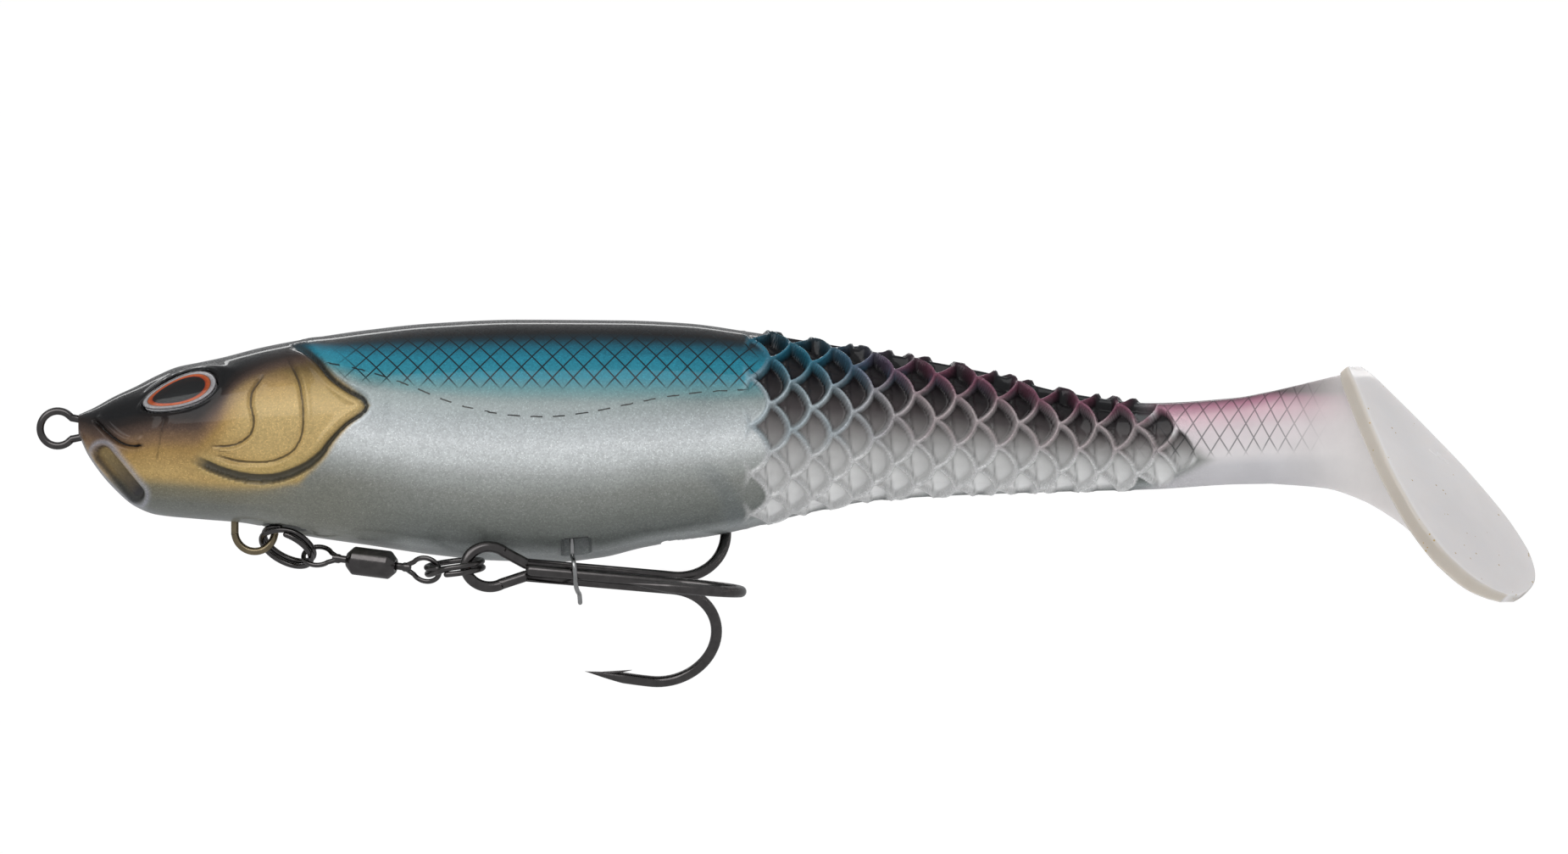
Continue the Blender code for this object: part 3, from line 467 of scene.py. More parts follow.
def net_share(s, z):
    """How strongly the fine net shows: on the blue back, and faintly on the stem."""
    along = step(37.0, 43.0, s) * step(97.5, 95.5, s)
    on_back = along * step(5.0, 6.6, z - 0.8 * step(60, 40, s)) * step(14.0, 12.4, z)
    on_stem = 0.6 * step(148.0, 156.0, s) * step(178.0, 168.0, s) * step(0.30, 0.44, body_height(s, z))
    return on_back + on_stem


def hollows(points):
    """Which points lie in the room cut out of the belly for the hook, the keeper and the front ring."""
    along, down, far = (np.array(v) for v in treble_axes())
    eye = np.array(TREBLE_AT)
    from_bend = points - (eye + along * HOOK_LENGTH)
    t, f, h = from_bend @ along, from_bend @ far, -from_bend @ down
    lean = math.tan(math.radians(180 - HOOK_ROLLS["upper"]))
    wall = np.interp(h, (2.6, SLOT_ROOF), (-0.6, SLOT_ROOF * lean - 2.1))
    round_bend = (t > -1.6) & (t < SLOT_REAR) & (f > wall)
    round_point = (t > SLOT_FRONT) & (t < -1.0) & (f > 4.8)
    inside = (h < SLOT_ROOF) & (h > -6.0) & (f < SLOT_FAR_WALL) & (round_bend | round_point)
    spike = points - (eye + along * KEEPER_STATION + np.array(KEEPER_ROUTE[0]) + (0.9, 0.0, -3.4))
    inside |= np.all(np.abs(spike) < 0.5 * np.array(KEEPER_ROOM), axis=-1)
    centre, heading, roll, radius = FRONT_RING
    heading, up = chain_axes(heading, roll)
    offset = points - np.array(centre)
    level = offset @ np.array(heading.cross(up))
    return inside | ((np.abs(level) < 1.5) & (np.linalg.norm(offset, axis=-1) < radius + RING_WIRE + 0.7))


def hollow_out(points):
    """Lifts the belly's points that stand in a hollow straight up to its roof."""
    low = (points[..., 2] < -8.0) & (points[..., 0] < 98.0) & (points[..., 0] > 20.0)
    moving = points[low]
    for _ in range(90):
        moving[hollows(moving), 2] += 0.2
    points[low] = moving
    return points


def lattice(s, z, girth, to_back):
    """The scale lattice at each point.

    Gives its height; the shares of rib, of sunken cell and of plain stem behind it; the colours of cell and
    rib, with painted shade in the cells; and how strongly the ribs are painted.
    """
    u = s - LATTICE_ORIGIN
    gap = rib_distance(u, girth)
    middle_u, middle_v, back_share, up_share = scale_cell(u, girth)
    h = body_height(s, z)
    rib_end = np.interp(girth, *zip(*LATTICE_END)) - s
    by_back, by_belly = step(0.7, 1.7, to_back), step(0.2, 1.0, girth - girth[:, :1])
    edge = by_back * by_belly
    ribbed = step(LATTICE_START - 1.4, LATTICE_START + 0.6, s) * step(-1.0, 1.2, rib_end)
    cell_s = middle_u + LATTICE_ORIGIN
    cell_end = np.interp(middle_v, *zip(*LATTICE_END)) - cell_s
    sunk = edge * step(LATTICE_START - 0.4, LATTICE_START, cell_s) * step(-0.2, 0.2, cell_end)
    sunk = sunk * step(LATTICE_START - 4.2, LATTICE_START - 2.2, s)
    rise = 1 - step(RIB_HALF_WIDE, RIB_HALF_WIDE + RIB_FLANK, gap)
    rib_share, cell_share = ribbed * rise, sunk * (1 - rise)
    depth = (0.80 + 0.95 * step(0.25, 0.75, h)) * (0.62 + 0.38 * step(0.0, 0.85, back_share))
    depth = np.minimum(depth, 0.34 * through(HALF_WIDTH, s))
    septum = np.exp(-((u - middle_u + 0.25 + 0.35 * up_share) / 0.16) ** 2) * step(0.8, 0.5, np.abs(up_share))
    crest = RIB_PROUD * (1 - 0.4 * np.clip(gap / RIB_HALF_WIDE, 0, 1) ** 2)
    crest = crest * (0.35 + 0.65 * by_belly) * (1.7 - 0.7 * by_back)
    height = rib_share * crest - cell_share * (depth - 0.22 * septum)
    rib, cell = tail_colours(s, z)
    # painted shade in the cells: darker along the septum fold and towards each cell's deep back beside its
    # rib
    cell = cell * (1 - 0.5 * septum)[..., None] * (1.15 - 0.35 * back_share)[..., None]
    return height, rib_share, cell_share, step(-1.0, 3.0, -rib_end), cell, rib, 0.4 + 0.6 * edge


def jaw_colour(colour, s, z, points):
    """Paints the grey chin and the dark hollow of the jaw with its pale rim: painted shade in the hollow and
    on its wall, and a painted highlight on the raised rim.
    """
    jaw = step(1.9, 0.7, np.abs(points[..., 1]) - 0.16 * (s - 3)) * step(15.0, 9.0, s) * step(1.5, -2.5, z)
    colour = mix(colour, (0.24, 0.25, 0.28), 0.8 * jaw)
    gap, _, along = from_line(s, z, JAW_HOLLOW)
    # painted shade: the hollow darkens from brown to near black along it, with a dark ring on its wall;
    # painted highlight: the pale ring on its raised rim
    hollow = mix(plain((0.26, 0.185, 0.075), s), (0.035, 0.032, 0.034), along)
    colour = mix(colour, hollow, step(1.15, 0.7, gap))
    colour = mix(colour, (0.012, 0.011, 0.011), 0.85 * np.exp(-((gap - 1.12) / 0.24) ** 2))
    return mix(colour, (0.33, 0.335, 0.38), 0.7 * np.exp(-((gap - 1.75) / 0.36) ** 2))


def shape_skin(s_values, columns):
    """The finished skin: moved points, colours and the shares its material reads."""
    points, girth, to_back = skin_grid(s_values, columns)
    normals = grid_normals(points)
    s, z = points[..., 0], points[..., 2]
    on_head = s < HEAD_REACH
    height = np.zeros(s.shape)
    height[on_head] += head_relief(s[on_head], z[on_head], points[on_head])
    gill, gill_cut, gill_wide, fold, fold_cut = head_lines(s, z, points)
    dash, dash_side, dash_along = from_line(s, z, LATERAL_LINE)
    relief, rib_share, cell_share, stem, cell, rib, rib_paint = lattice(s, z, girth, to_back)
    height += relief

    head_end = np.interp(z, *zip(*HEAD_END))
    head = step(0.8, -0.6, s - head_end)
    under = step(-6.8, -8.2, z)
    head = head * (1 - under) + step(5.0, -9.0, s - 30.0) * under
    colour = mix(flank_colour(s, z), head_colour(s, z), head)
    lip = step(1.9, 0.9, gill - gill_wide) * step(-1.0, 0.0, gill)
    lip = lip * gill_cut * (gill_wide - 0.14) / 0.34 * on_head
    colour = mix(colour, (0.50, 0.365, 0.145), 0.85 * lip)
    ridge = step(94.0, 98.0, s) * step(0.90, 0.95, body_height(s, z)) * (1 - stem)
    colour = mix(colour, plain((0.010, 0.010, 0.013), s), ridge)
    colour = mix(colour, stem_colour(s, z), stem)
    colour = mix(colour, cell, cell_share)
    colour = mix(colour, rib, rib_share * rib_paint)
    colour = jaw_colour(colour, s, z, points)
    colour = mix(colour, BLACK, step(1.22, 1.02, eye_radius(points)) * (s < 30))

    turn = step(118.0, 122.0, s)
    shares = {"net_u": s / (NET_BODY[0] + (NET_STEM[0] - NET_BODY[0]) * turn),
              "net_v": girth / (NET_BODY[1] + (NET_STEM[1] - NET_BODY[1]) * turn),
              "net": net_share(s, z), "pearl": step(162.0, 150.0, s) * (1 - 0.9 * cell_share),
              "ribs": rib_share, "gill_gap": far_kept_far(gill - gill_wide), "gill_cut": gill_cut * on_head,
              "gill_wide": gill_wide, "fold_gap": far_kept_far(fold), "fold_cut": fold_cut * on_head,
              "dash_gap": far_kept_far(dash * dash_side), "dash_run": dash_along * LATERAL_RUN / DASH_PITCH}
    raised = points + normals * height[..., None]
    shaped = hollow_out(raised.copy())
    # painted shade: skin lifted into the belly's hollows is painted near black, as the shade inside the
    # pockets
    colour = mix(colour, (0.050, 0.055, 0.055), 0.85 * (shaped[..., 2] - raised[..., 2] > 0.3))
    return shaped, colour, shares


# --- the bent tail ------------------------------------------------------------------------------
def bent(points):
    """Carries points of the straight body into the tail's resting curve."""
    stations = np.linspace(0, 230, 2301)
    turn = sum(math.radians(angle) * step(middle - BEND_SPREAD / 2, middle + BEND_SPREAD / 2, stations)
               for middle, angle in BENDS)
    pace = np.diff(stations, prepend=stations[0])
    centre_x = np.cumsum(np.cos(turn) * pace)
    centre_y = np.cumsum(np.sin(turn) * pace)
    x = points[..., 0]
    heading = np.interp(x, stations, turn)
    out = np.array(points, float)
    out[..., 0] = np.interp(x, stations, centre_x) - np.sin(heading) * points[..., 1]
    out[..., 1] = np.interp(x, stations, centre_y) + np.cos(heading) * points[..., 1]
    return out


def spot(s, y=0.0, z=0.0):
    return Vector(bent(np.array([s, y, z]))) * MM


# --- mesh building ------------------------------------------------------------------------------
def link(name, mesh, look=None):
    piece = bpy.data.objects.new(name, mesh)
    bpy.context.scene.collection.objects.link(piece)
    if look:
        mesh.materials.append(look)
    return piece


def outward(mesh):
    """Turns every face of a closed mesh to look out."""
    bm = bmesh.new()
    bm.from_mesh(mesh)
    bmesh.ops.recalc_face_normals(bm, faces=bm.faces)
    bm.to_mesh(mesh)
    bm.free()


def place(piece, body, replaced=None):
    """Fixes a piece to a body and hides the part's node that it stands in for."""
    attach(piece, body)
    if replaced:
        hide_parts(replaced)


def grid_mesh(name, points, normals=None, colour=None, shares=None, look=None):
    """A tube through a grid of rows that close on themselves, with flat ends."""
    rows, columns = points.shape[:2]
    index = np.arange(rows * columns).reshape(rows, columns)
    ahead = np.roll(index, -1, axis=1)
    quads = np.stack([index[:-1], index[1:], ahead[1:], ahead[:-1]], axis=-1).reshape(-1, 4)
    faces = [tuple(q) for q in quads.tolist()] + [tuple(index[0].tolist()), tuple(index[-1].tolist()[::-1])]
    mesh = bpy.data.meshes.new(name)
    mesh.from_pydata((points.reshape(-1, 3) * MM).tolist(), [], faces)
    for key, values in (shares or {}).items():
        values = values.astype(np.float32).ravel()
        mesh.attributes.new(key, "FLOAT", "POINT").data.foreach_set("value", values)
    if colour is not None:
        paint = np.concatenate([colour, np.ones(colour.shape[:-1] + (1,))], axis=-1).astype(np.float32)
        mesh.attributes.new("paint", "FLOAT_COLOR", "POINT").data.foreach_set("color", paint.ravel())
    mesh.shade_smooth()
    if normals is not None:
        mesh.normals_split_custom_set_from_vertices(normals.reshape(-1, 3).tolist())
    return link(name, mesh, look)


def tube(name, path, radius, look, taper=None, sides=16):
    """A round wire along a path, with domed ends, as a closed mesh."""
    path = np.array([tuple(p) for p in path], float)
    keep = np.concatenate([[True], np.linalg.norm(np.diff(path, axis=0), axis=1) > 1e-4])
    path = path[keep]
    taper = np.ones(len(path)) if taper is None else np.array(taper, float)[keep]
    heading = np.gradient(path, axis=0)
    heading /= np.linalg.norm(heading, axis=1, keepdims=True)
    side = np.cross(heading[0], (0.0, 0.0, 1.0))
    if np.linalg.norm(side) < 0.1:
        side = np.cross(heading[0], (0.0, 1.0, 0.0))
    rings = []
    turn = np.linspace(0, 2 * math.pi, sides, endpoint=False)
    for i in range(len(path)):
        side = side - heading[i] * (side @ heading[i])
        side /= np.linalg.norm(side)
        other = np.cross(heading[i], side)
        rings.append(path[i] + radius * taper[i]
                     * (np.cos(turn)[:, None] * side + np.sin(turn)[:, None] * other))
    dome = []
    for end, sign in ((0, -1), (-1, 1)):
        caps = [path[end] + (rings[end] - path[end]) * math.cos(a) + sign * heading[end] * radius
                * taper[end] * math.sin(a)
                for a in np.radians((30, 58, 80))]
        dome.append(caps)
    rings = dome[0][::-1] + rings + dome[1]
    piece = grid_mesh(name, np.array(rings), look=look)
    outward(piece.data)
    return piece


def lathe(name, profile, origin, along, look, steps=48):
    """A solid of revolution: a closed profile of (distance along, radius), radius above zero."""
    side, other = frame_across(along)
    turns = np.linspace(0, 2 * math.pi, steps, endpoint=False)
    rings = np.array([[Vector(origin) + along * d + (side * math.cos(t) + other * math.sin(t)) * r
                       for t in turns] for d, r in profile])
    count = len(profile)
    index = np.arange(count * steps).reshape(count, steps)
    below, ahead = np.roll(index, -1, axis=0), np.roll(index, -1, axis=1)
    quads = np.stack([index, ahead, np.roll(below, -1, axis=1), below], axis=-1).reshape(-1, 4)
    mesh = bpy.data.meshes.new(name)
    mesh.from_pydata((rings.reshape(-1, 3) * MM).tolist(), [], [tuple(q) for q in quads.tolist()])
    outward(mesh)
    mesh.shade_smooth()
    mesh.set_sharp_from_angle(angle=math.radians(30))
    return link(name, mesh, look)


def frame_across(along):
    up = Vector((0, 0, 1))
    side = (up - along * up.dot(along)).normalized()
    return side, along.cross(side)


# --- materials ----------------------------------------------------------------------------------
def blank(name):
    made = bpy.data.materials.new(name)
    made.use_nodes = True
    return made, made.node_tree, made.node_tree.nodes["Principled BSDF"]


def node(tree, kind, **settings):
    made = tree.nodes.new(kind)
    for key, value in settings.items():
        if key in made.inputs:
            made.inputs[key].default_value = value
        else:
            setattr(made, key, value)
    return made


def maths(tree, operation, *values):
    made = tree.nodes.new("ShaderNodeMath")
    made.operation = operation
    for i, value in enumerate(values):
        if isinstance(value, (int, float)):
            made.inputs[i].default_value = value
        else:
            tree.links.new(value, made.inputs[i])
    return made.outputs[0]


def share(tree, name):
    made = tree.nodes.new("ShaderNodeAttribute")
    made.attribute_name = name
    return made.outputs["Fac"]


def scaled(tree, value, low, gain):
    """low + gain x value."""
    return maths(tree, "ADD", low, maths(tree, "MULTIPLY", value, gain))


def texture(tree, kind, **settings):
    """A texture node laid over the piece in its own coordinates."""
    where = tree.nodes.new("ShaderNodeTexCoord")
    made = node(tree, kind, **settings)
    tree.links.new(where.outputs["Object"], made.inputs["Vector"])
    return made


def noise(tree, scale, detail=3.0, rough=0.5):
    return texture(tree, "ShaderNodeTexNoise", Scale=scale, Detail=detail, Roughness=rough).outputs["Fac"]


def flecks(tree, scale):
    """A random value for each tiny grain of a metallic paint."""
    made = texture(tree, "ShaderNodeTexVoronoi", Scale=scale)
    split = tree.nodes.new("ShaderNodeSeparateColor")
    tree.links.new(made.outputs["Color"], split.inputs["Color"])
    return split.outputs[0]


def blend_colour(tree, factor, a, b, mode="MIX"):
    made = tree.nodes.new("ShaderNodeMix")
    made.data_type = "RGBA"
    made.blend_type = mode
    for socket, value in ((made.inputs[0], factor), (made.inputs[6], a), (made.inputs[7], b)):
        if isinstance(value, (int, float)):
            socket.default_value = value
        elif isinstance(value, tuple):
            socket.default_value = (*value, 1.0)
        else:
            tree.links.new(value, socket)
    return made.outputs[2]


def dimmed(tree, colour, value):
    """A colour times a plain value."""
    grey = tree.nodes.new("ShaderNodeCombineColor")
    for channel in range(3):
        tree.links.new(value, grey.inputs[channel])
    return blend_colour(tree, 1.0, colour, grey.outputs[0], "MULTIPLY")


def feed(tree, shader, inputs):
    """Sets a shader's inputs: a socket is linked, and a constant is written on the input itself."""
    for name, value in inputs.items():
        if isinstance(value, bpy.types.NodeSocket):
            tree.links.new(value, shader.inputs[name])
        else:
            shader.inputs[name].default_value = value


def bumped(tree, shader, height, strength, distance):
    bump = node(tree, "ShaderNodeBump", Strength=strength, Distance=distance)
    tree.links.new(height, bump.inputs["Height"])
    tree.links.new(bump.outputs[0], shader.inputs["Normal"])


def net_lines(tree):
    """Fine crossed lines of the scale net: 1 on a line."""
    lines = None
    for sign in ("ADD", "SUBTRACT"):
        cell = maths(tree, "FRACT", maths(tree, sign, share(tree, "net_u"), share(tree, "net_v")))
        away = maths(tree, "ABSOLUTE", maths(tree, "SUBTRACT", cell, 0.5))
        on = maths(tree, "GREATER_THAN", away, 0.452)
        lines = on if lines is None else maths(tree, "MAXIMUM", lines, on)
    return maths(tree, "MULTIPLY", lines, share(tree, "net"))


def soft_line(tree, distance, half_wide, cut):
    """A dark line where a distance is near nought, soft over its own half width again."""
    size = maths(tree, "ABSOLUTE", distance)
    edge = maths(tree, "DIVIDE", size, half_wide)
    on = maths(tree, "SUBTRACT", 2.0, edge)
    made = tree.nodes.new("ShaderNodeClamp")
    tree.links.new(on, made.inputs[0])
    return maths(tree, "MULTIPLY", made.outputs[0], cut)


def engraving(tree):
    """The dark lines of the head and the broken lateral line."""
    gill_width = scaled(tree, share(tree, "gill_wide"), 0.10, 0.7)
    gill = soft_line(tree, share(tree, "gill_gap"), gill_width, share(tree, "gill_cut"))
    fold = soft_line(tree, share(tree, "fold_gap"), 0.11, share(tree, "fold_cut"))
    run = maths(tree, "FRACT", share(tree, "dash_run"))
    dash = soft_line(tree, share(tree, "dash_gap"), 0.07, maths(tree, "LESS_THAN", run, DASH_SHARE))
    return gill, maths(tree, "MAXIMUM", fold, dash)


def skin_look(name, translucent):
    """Clear-coated soft moulding over metallic paint, with flecks, a printed net and cloudy variation."""
    made, tree, shader = blank(name)
    paint = tree.nodes.new("ShaderNodeAttribute")
    paint.attribute_name = "paint"
    grain, glint = flecks(tree, 4600.0), flecks(tree, 7400.0)
    cloud = noise(tree, 160.0, 4.0, 0.6)
    pearl = share(tree, "pearl")
    spark = scaled(tree, grain, 0.87, 0.26)
    spark = scaled(tree, maths(tree, "GREATER_THAN", glint, 0.93), spark, 0.28)
    spark = maths(tree, "ADD", maths(tree, "MULTIPLY", spark, pearl), maths(tree, "SUBTRACT", 1.0, pearl))
    lit = maths(tree, "MULTIPLY", spark, scaled(tree, cloud, 0.88, 0.24))
    colour = dimmed(tree, paint.outputs["Color"], lit)
    lines = net_lines(tree)
    colour = blend_colour(tree, maths(tree, "MULTIPLY", lines, 0.95), colour, (0.006, 0.012, 0.016))
    if not translucent:
        wide, fine = engraving(tree)
        colour = blend_colour(tree, maths(tree, "MULTIPLY", wide, 0.88), colour, (0.055, 0.060, 0.058))
        colour = blend_colour(tree, maths(tree, "MULTIPLY", fine, 0.9), colour, (0.012, 0.008, 0.006))
    metal = scaled(tree, share(tree, "ribs"), maths(tree, "MULTIPLY", pearl, 0.24), 0.2)
    feed(tree, shader, {"Base Color": colour, "Metallic": metal, "Roughness": scaled(tree, grain, 0.30, 0.22),
                        "Coat Weight": 1.0, "Coat Roughness": 0.05, "Coat IOR": 1.32,
                        "Specular IOR Level": 0.2,
                        "Subsurface Weight": 0.40 if translucent else 0.05,
                        "Subsurface Radius": (1.0, 0.95, 0.95),
                        "Subsurface Scale": 0.0012 if translucent else 0.0006})
    height = scaled(tree, noise(tree, 420.0, 3.0), maths(tree, "MULTIPLY", lines, -0.8), 0.35)
    bumped(tree, shader, height, 0.25, 0.00012)
    return made


def paddle_look():
    """Milky translucent moulding with a few gold specks."""
    made, tree, shader = blank("milky_pvc")
    cloud = noise(tree, 55.0, 5.0, 0.55)
    face = blend_colour(tree, cloud, (0.62, 0.60, 0.605), (0.78, 0.765, 0.765))
    side = blend_colour(tree, cloud, (0.46, 0.42, 0.37), (0.58, 0.54, 0.49))
    base = blend_colour(tree, share(tree, "edge"), face, side)
    dots = texture(tree, "ShaderNodeTexVoronoi", Scale=800.0)
    speck = maths(tree, "LESS_THAN", dots.outputs["Distance"], 0.12)
    few = maths(tree, "GREATER_THAN", noise(tree, 260.0, 1.0), 0.56)
    colour = blend_colour(tree, maths(tree, "MULTIPLY", speck, few), base, (0.42, 0.30, 0.12))
    feed(tree, shader, {"Base Color": colour, "Roughness": scaled(tree, cloud, 0.18, 0.14),
                        "Subsurface Weight": 0.7, "Subsurface Radius": (1.0, 0.92, 0.84),
                        "Subsurface Scale": 0.003, "Coat Weight": 0.6, "Coat Roughness": 0.08})
    bumped(tree, shader, noise(tree, 240.0, 3.0), 0.2, 0.0002)
    return made


def metal_look(name, dark, light, rough, worn=0.18):
    """Plated or drawn metal: two tones in fine patches, uneven gloss and a faint grain."""
    made, tree, shader = blank(name)
    patch = noise(tree, 700.0, 5.0, 0.6)
    gloss = scaled(tree, noise(tree, 1500.0, 3.0), rough - worn / 2, worn)
    feed(tree, shader, {"Base Color": blend_colour(tree, patch, dark, light), "Roughness": gloss,
                        "Metallic": 1.0})
    bumped(tree, shader, noise(tree, 2600.0, 2.0), 0.15, 0.00004)
    return made


def iris_look():
    """Printed foil: black pupil, bright orange ring, thin dark line and a pale outer rim, with foil grain."""
    made, tree, shader = blank("eye_foil_print")
    out = share(tree, "rim")
    rings = tree.nodes.new("ShaderNodeValToRGB")
    stops = ((0.0, (0.020, 0.020, 0.022)), (0.70, (0.010, 0.010, 0.011)), (0.73, (0.70, 0.085, 0.012)),
             (0.83, (0.80, 0.17, 0.03)), (0.85, (0.20, 0.07, 0.05)), (0.87, (0.50, 0.49, 0.50)),
             (1.0, (0.78, 0.78, 0.80)))
    band = rings.color_ramp
    band.elements[0].color = (*stops[0][1], 1.0)
    band.elements[1].color = (*stops[-1][1], 1.0)
    for at, colour in stops[1:-1]:
        band.elements.new(at).color = (*colour, 1.0)
    tree.links.new(out, rings.inputs[0])
    colour = dimmed(tree, rings.outputs[0], scaled(tree, flecks(tree, 6000.0), 0.85, 0.3))
    feed(tree, shader, {"Base Color": colour, "Metallic": 0.25, "Roughness": 0.28})
    return made


def resin_look():
    """Clear domed resin that lets light straight through and mirrors more towards its edge."""
    made, tree, shader = blank("clear_resin")
    clear = node(tree, "ShaderNodeBsdfTransparent", Color=(0.97, 0.975, 0.98, 1.0))
    gloss = node(tree, "ShaderNodeBsdfGlossy", Roughness=0.03)
    edge = node(tree, "ShaderNodeFresnel", IOR=1.5)
    both = tree.nodes.new("ShaderNodeMixShader")
    tree.links.new(edge.outputs[0], both.inputs[0])
    tree.links.new(clear.outputs[0], both.inputs[1])
    tree.links.new(gloss.outputs[0], both.inputs[2])
    tree.links.new(both.outputs[0], tree.nodes["Material Output"].inputs["Surface"])
    tree.nodes.remove(shader)
    return made


# --- pieces of the soft body --------------------------------------------------------------------
def skin_rows():
    """Row stations, closer together over the head and the lattice, with one on each seam."""
    spans = ((2.9, 45.0, 0.25), (45.0, 91.0, 0.6), (91.0, 98.5, 0.25), (98.5, 114.25, 0.25),
             (114.25, 132.5, 0.25), (132.5, 155.5, 0.25), (155.5, 160.0, 0.25), (160.0, 168.0, 0.5),
             (168.0, 182.0, 0.45))
    rows = [np.linspace(a, b, int(round((b - a) / gap)) + 1)[:-1] for a, b, gap in spans]
    return np.concatenate(rows + [[182.0]])


def build_skin(looks):
    """One continuous skin, parted at the middles of the rigid segments and laid in the tail's resting curve;
    only the front piece rides a body.
    """
    rows = skin_rows()
    points, colour, shares = shape_skin(rows, 130)
    placed = bent(points)
    normals = grid_normals(placed)
    start = 0
    for name, end, bodies, bend_start, bend_end in STRETCHES:
        stop = len(rows) - 1 if end > rows[-1] else int(np.argmin(np.abs(rows - end)))
        part = slice(start, stop + 1)
        look = looks["tail"] if bodies else looks["soft"]
        piece = grid_mesh(name, placed[part], normals[part], colour[part],
                          {k: v[part] for k, v in shares.items()}, look)
        if bodies:
            spot(bend_start)
            spot(bend_end)
            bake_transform(piece)
            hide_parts(bodies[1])
        else:
            place(piece, "forebody", "forebody")
        start = stop


def build_paddle(look):
    """The paddle: a flat teardrop plate, thinner at its two ends, with a softly rounded rim."""
    top, end = np.array((PADDLE_TOP[0], 0.0, PADDLE_TOP[1])), np.array((PADDLE_END[0], 0.0, PADDLE_END[1]))
    along = (end - top) / np.linalg.norm(end - top)
    forward = np.array((along[2], 0.0, -along[0]))
    shares = 0.5 - 0.5 * np.cos(np.linspace(0, math.pi, 70))
    corner = np.radians(np.linspace(0, 90, 7))
    rows, edges = [], []
    for t in shares:
        across = float(through(PADDLE_SHAPE, t))
        thick = 0.5 * PADDLE_THICK * (1 - 0.3 * abs(2 * t - 1) ** 12)
        flat = across - PADDLE_RIM
        quarter_y = np.concatenate([flat + PADDLE_RIM * np.cos(corner), flat * np.linspace(0.92, 0.0, 12)])
        quarter_x = np.concatenate([thick - PADDLE_RIM + PADDLE_RIM * np.sin(corner), np.full(12, thick)])
        ring_y = np.concatenate([quarter_y, -quarter_y[-2::-1], -quarter_y, quarter_y[-2::-1]])
        lift = np.concatenate([quarter_x, quarter_x[-2::-1], -quarter_x, -quarter_x[-2::-1]])
        quarter_edge = np.concatenate([np.cos(corner) ** 0.6, np.zeros(12)])
        edges.append(np.concatenate([quarter_edge, quarter_edge[-2::-1], quarter_edge, quarter_edge[-2::-1]]))
        rows.append(top + along * np.linalg.norm(end - top) * t + forward * lift[:, None]
                    + np.array((0, 1, 0)) * ring_y[:, None])
    placed = bent(np.array(rows))
    piece = grid_mesh("paddle", placed, shares={"edge": np.array(edges)}, look=look)
    outward(piece.data)
    piece.data.shade_smooth()
    piece.data.set_sharp_from_angle(angle=math.radians(50))
    place(piece, "paddle_tail")


def build_eye(side, name, foil, resin):
    """A printed foil disc under a clear dome."""
    here, normal, long_axis, short_axis = eye_frame(side)
    turns = np.linspace(0, 2 * math.pi, 96, endpoint=False)

    def disc(piece_name, rings, look):
        rows = []
        for out, share_of in rings:
            egg = 1 + EYE_EGG * np.cos(turns)
            rows.append([here + normal * out + long_axis * (EYE_LONG * share_of * math.cos(t))
                         + short_axis * (EYE_TALL * share_of * e * math.sin(t)) for t, e in zip(turns, egg)])
        rows = np.array(rows)
        rim = np.repeat(np.array([[r] for _, r in rings]), len(turns), axis=1)
        piece = grid_mesh(piece_name, rows, shares={"rim": rim}, look=look)
        outward(piece.data)
        return piece

    foil_rings = [(-1.7, 0.97)] + [(0.02 + 0.34 * (1 - r * r), r) for r in np.linspace(0.97, 0.02, 40)]
    printed = disc("iris_" + name, foil_rings, foil)
    place(printed, "forebody", "eye_foil_" + name)
    dome = [(-0.2, 0.995)] + [(0.10 + 0.68 * math.sqrt(1 - r * r), r) for r in np.linspace(0.995, 0.02, 40)]
    lens = disc("lens_" + name, dome, resin)
    place(lens, "forebody", "eye_lens_" + name)


# --- hardware -----------------------------------------------------------------------------------
def chain_axes(along, roll):
    along = Vector(along).normalized()
    up, side = frame_across(along)
    turn = math.radians(roll)
    return along, up * math.cos(turn) + side * math.sin(turn)


def finer(points):
    return smooth_path([tuple(p) for p in points], 0.16)


def ring_path(centre, along, roll, radius, steps=72):
    along, up = chain_axes(along, roll)
    normal = along.cross(up)
    pitch = 2 * RING_WIRE + 0.08
    points = []
    for k in range(2 * steps - 3):
        turn = 2 * math.pi * k / steps
        rise = float(step(5.6, 6.95, turn))
        points.append(Vector(centre) + (along * math.cos(turn + 1.9) + up * math.sin(turn + 1.9)) * radius
                      + normal * pitch * (rise - 0.5))
    return points


def swivel_along():
    return Vector(SWIVEL_DIRECTION).normalized()


def swivel_eye_path(sign):
    along, up = chain_axes(swivel_along() * sign, SWIVEL_ROLLS[sign])
    middle = Vector(BARREL_AT) + along * (0.5 * BARREL_LENGTH + EYE_REACH)
    loop = []
    for k in range(49):
        turn = math.radians(-148 + 296 * k / 48)
        loop.append(middle + along * (EYE_HALF_LONG * math.cos(turn)) + up * (EYE_HALF_WIDE * math.sin(turn)))
    neck = middle - along * (EYE_HALF_LONG + 0.4)
    apart = EYE_WIRE + 0.02
    return [neck - up * apart - along * 0.25] + loop + [neck + up * apart - along * 0.25]


def treble_axes():
    yaw, pitch = math.radians(TREBLE_YAW), math.radians(TREBLE_PITCH)
    along = Vector((math.cos(pitch) * math.cos(yaw), math.cos(pitch) * math.sin(yaw), math.sin(pitch)))
    up, _ = frame_across(along)
    down = -up
    return along, down, -down.cross(along)


def radial(roll):
    _, down, far = treble_axes()
    return down * math.cos(math.radians(roll)) + far * math.sin(math.radians(roll))


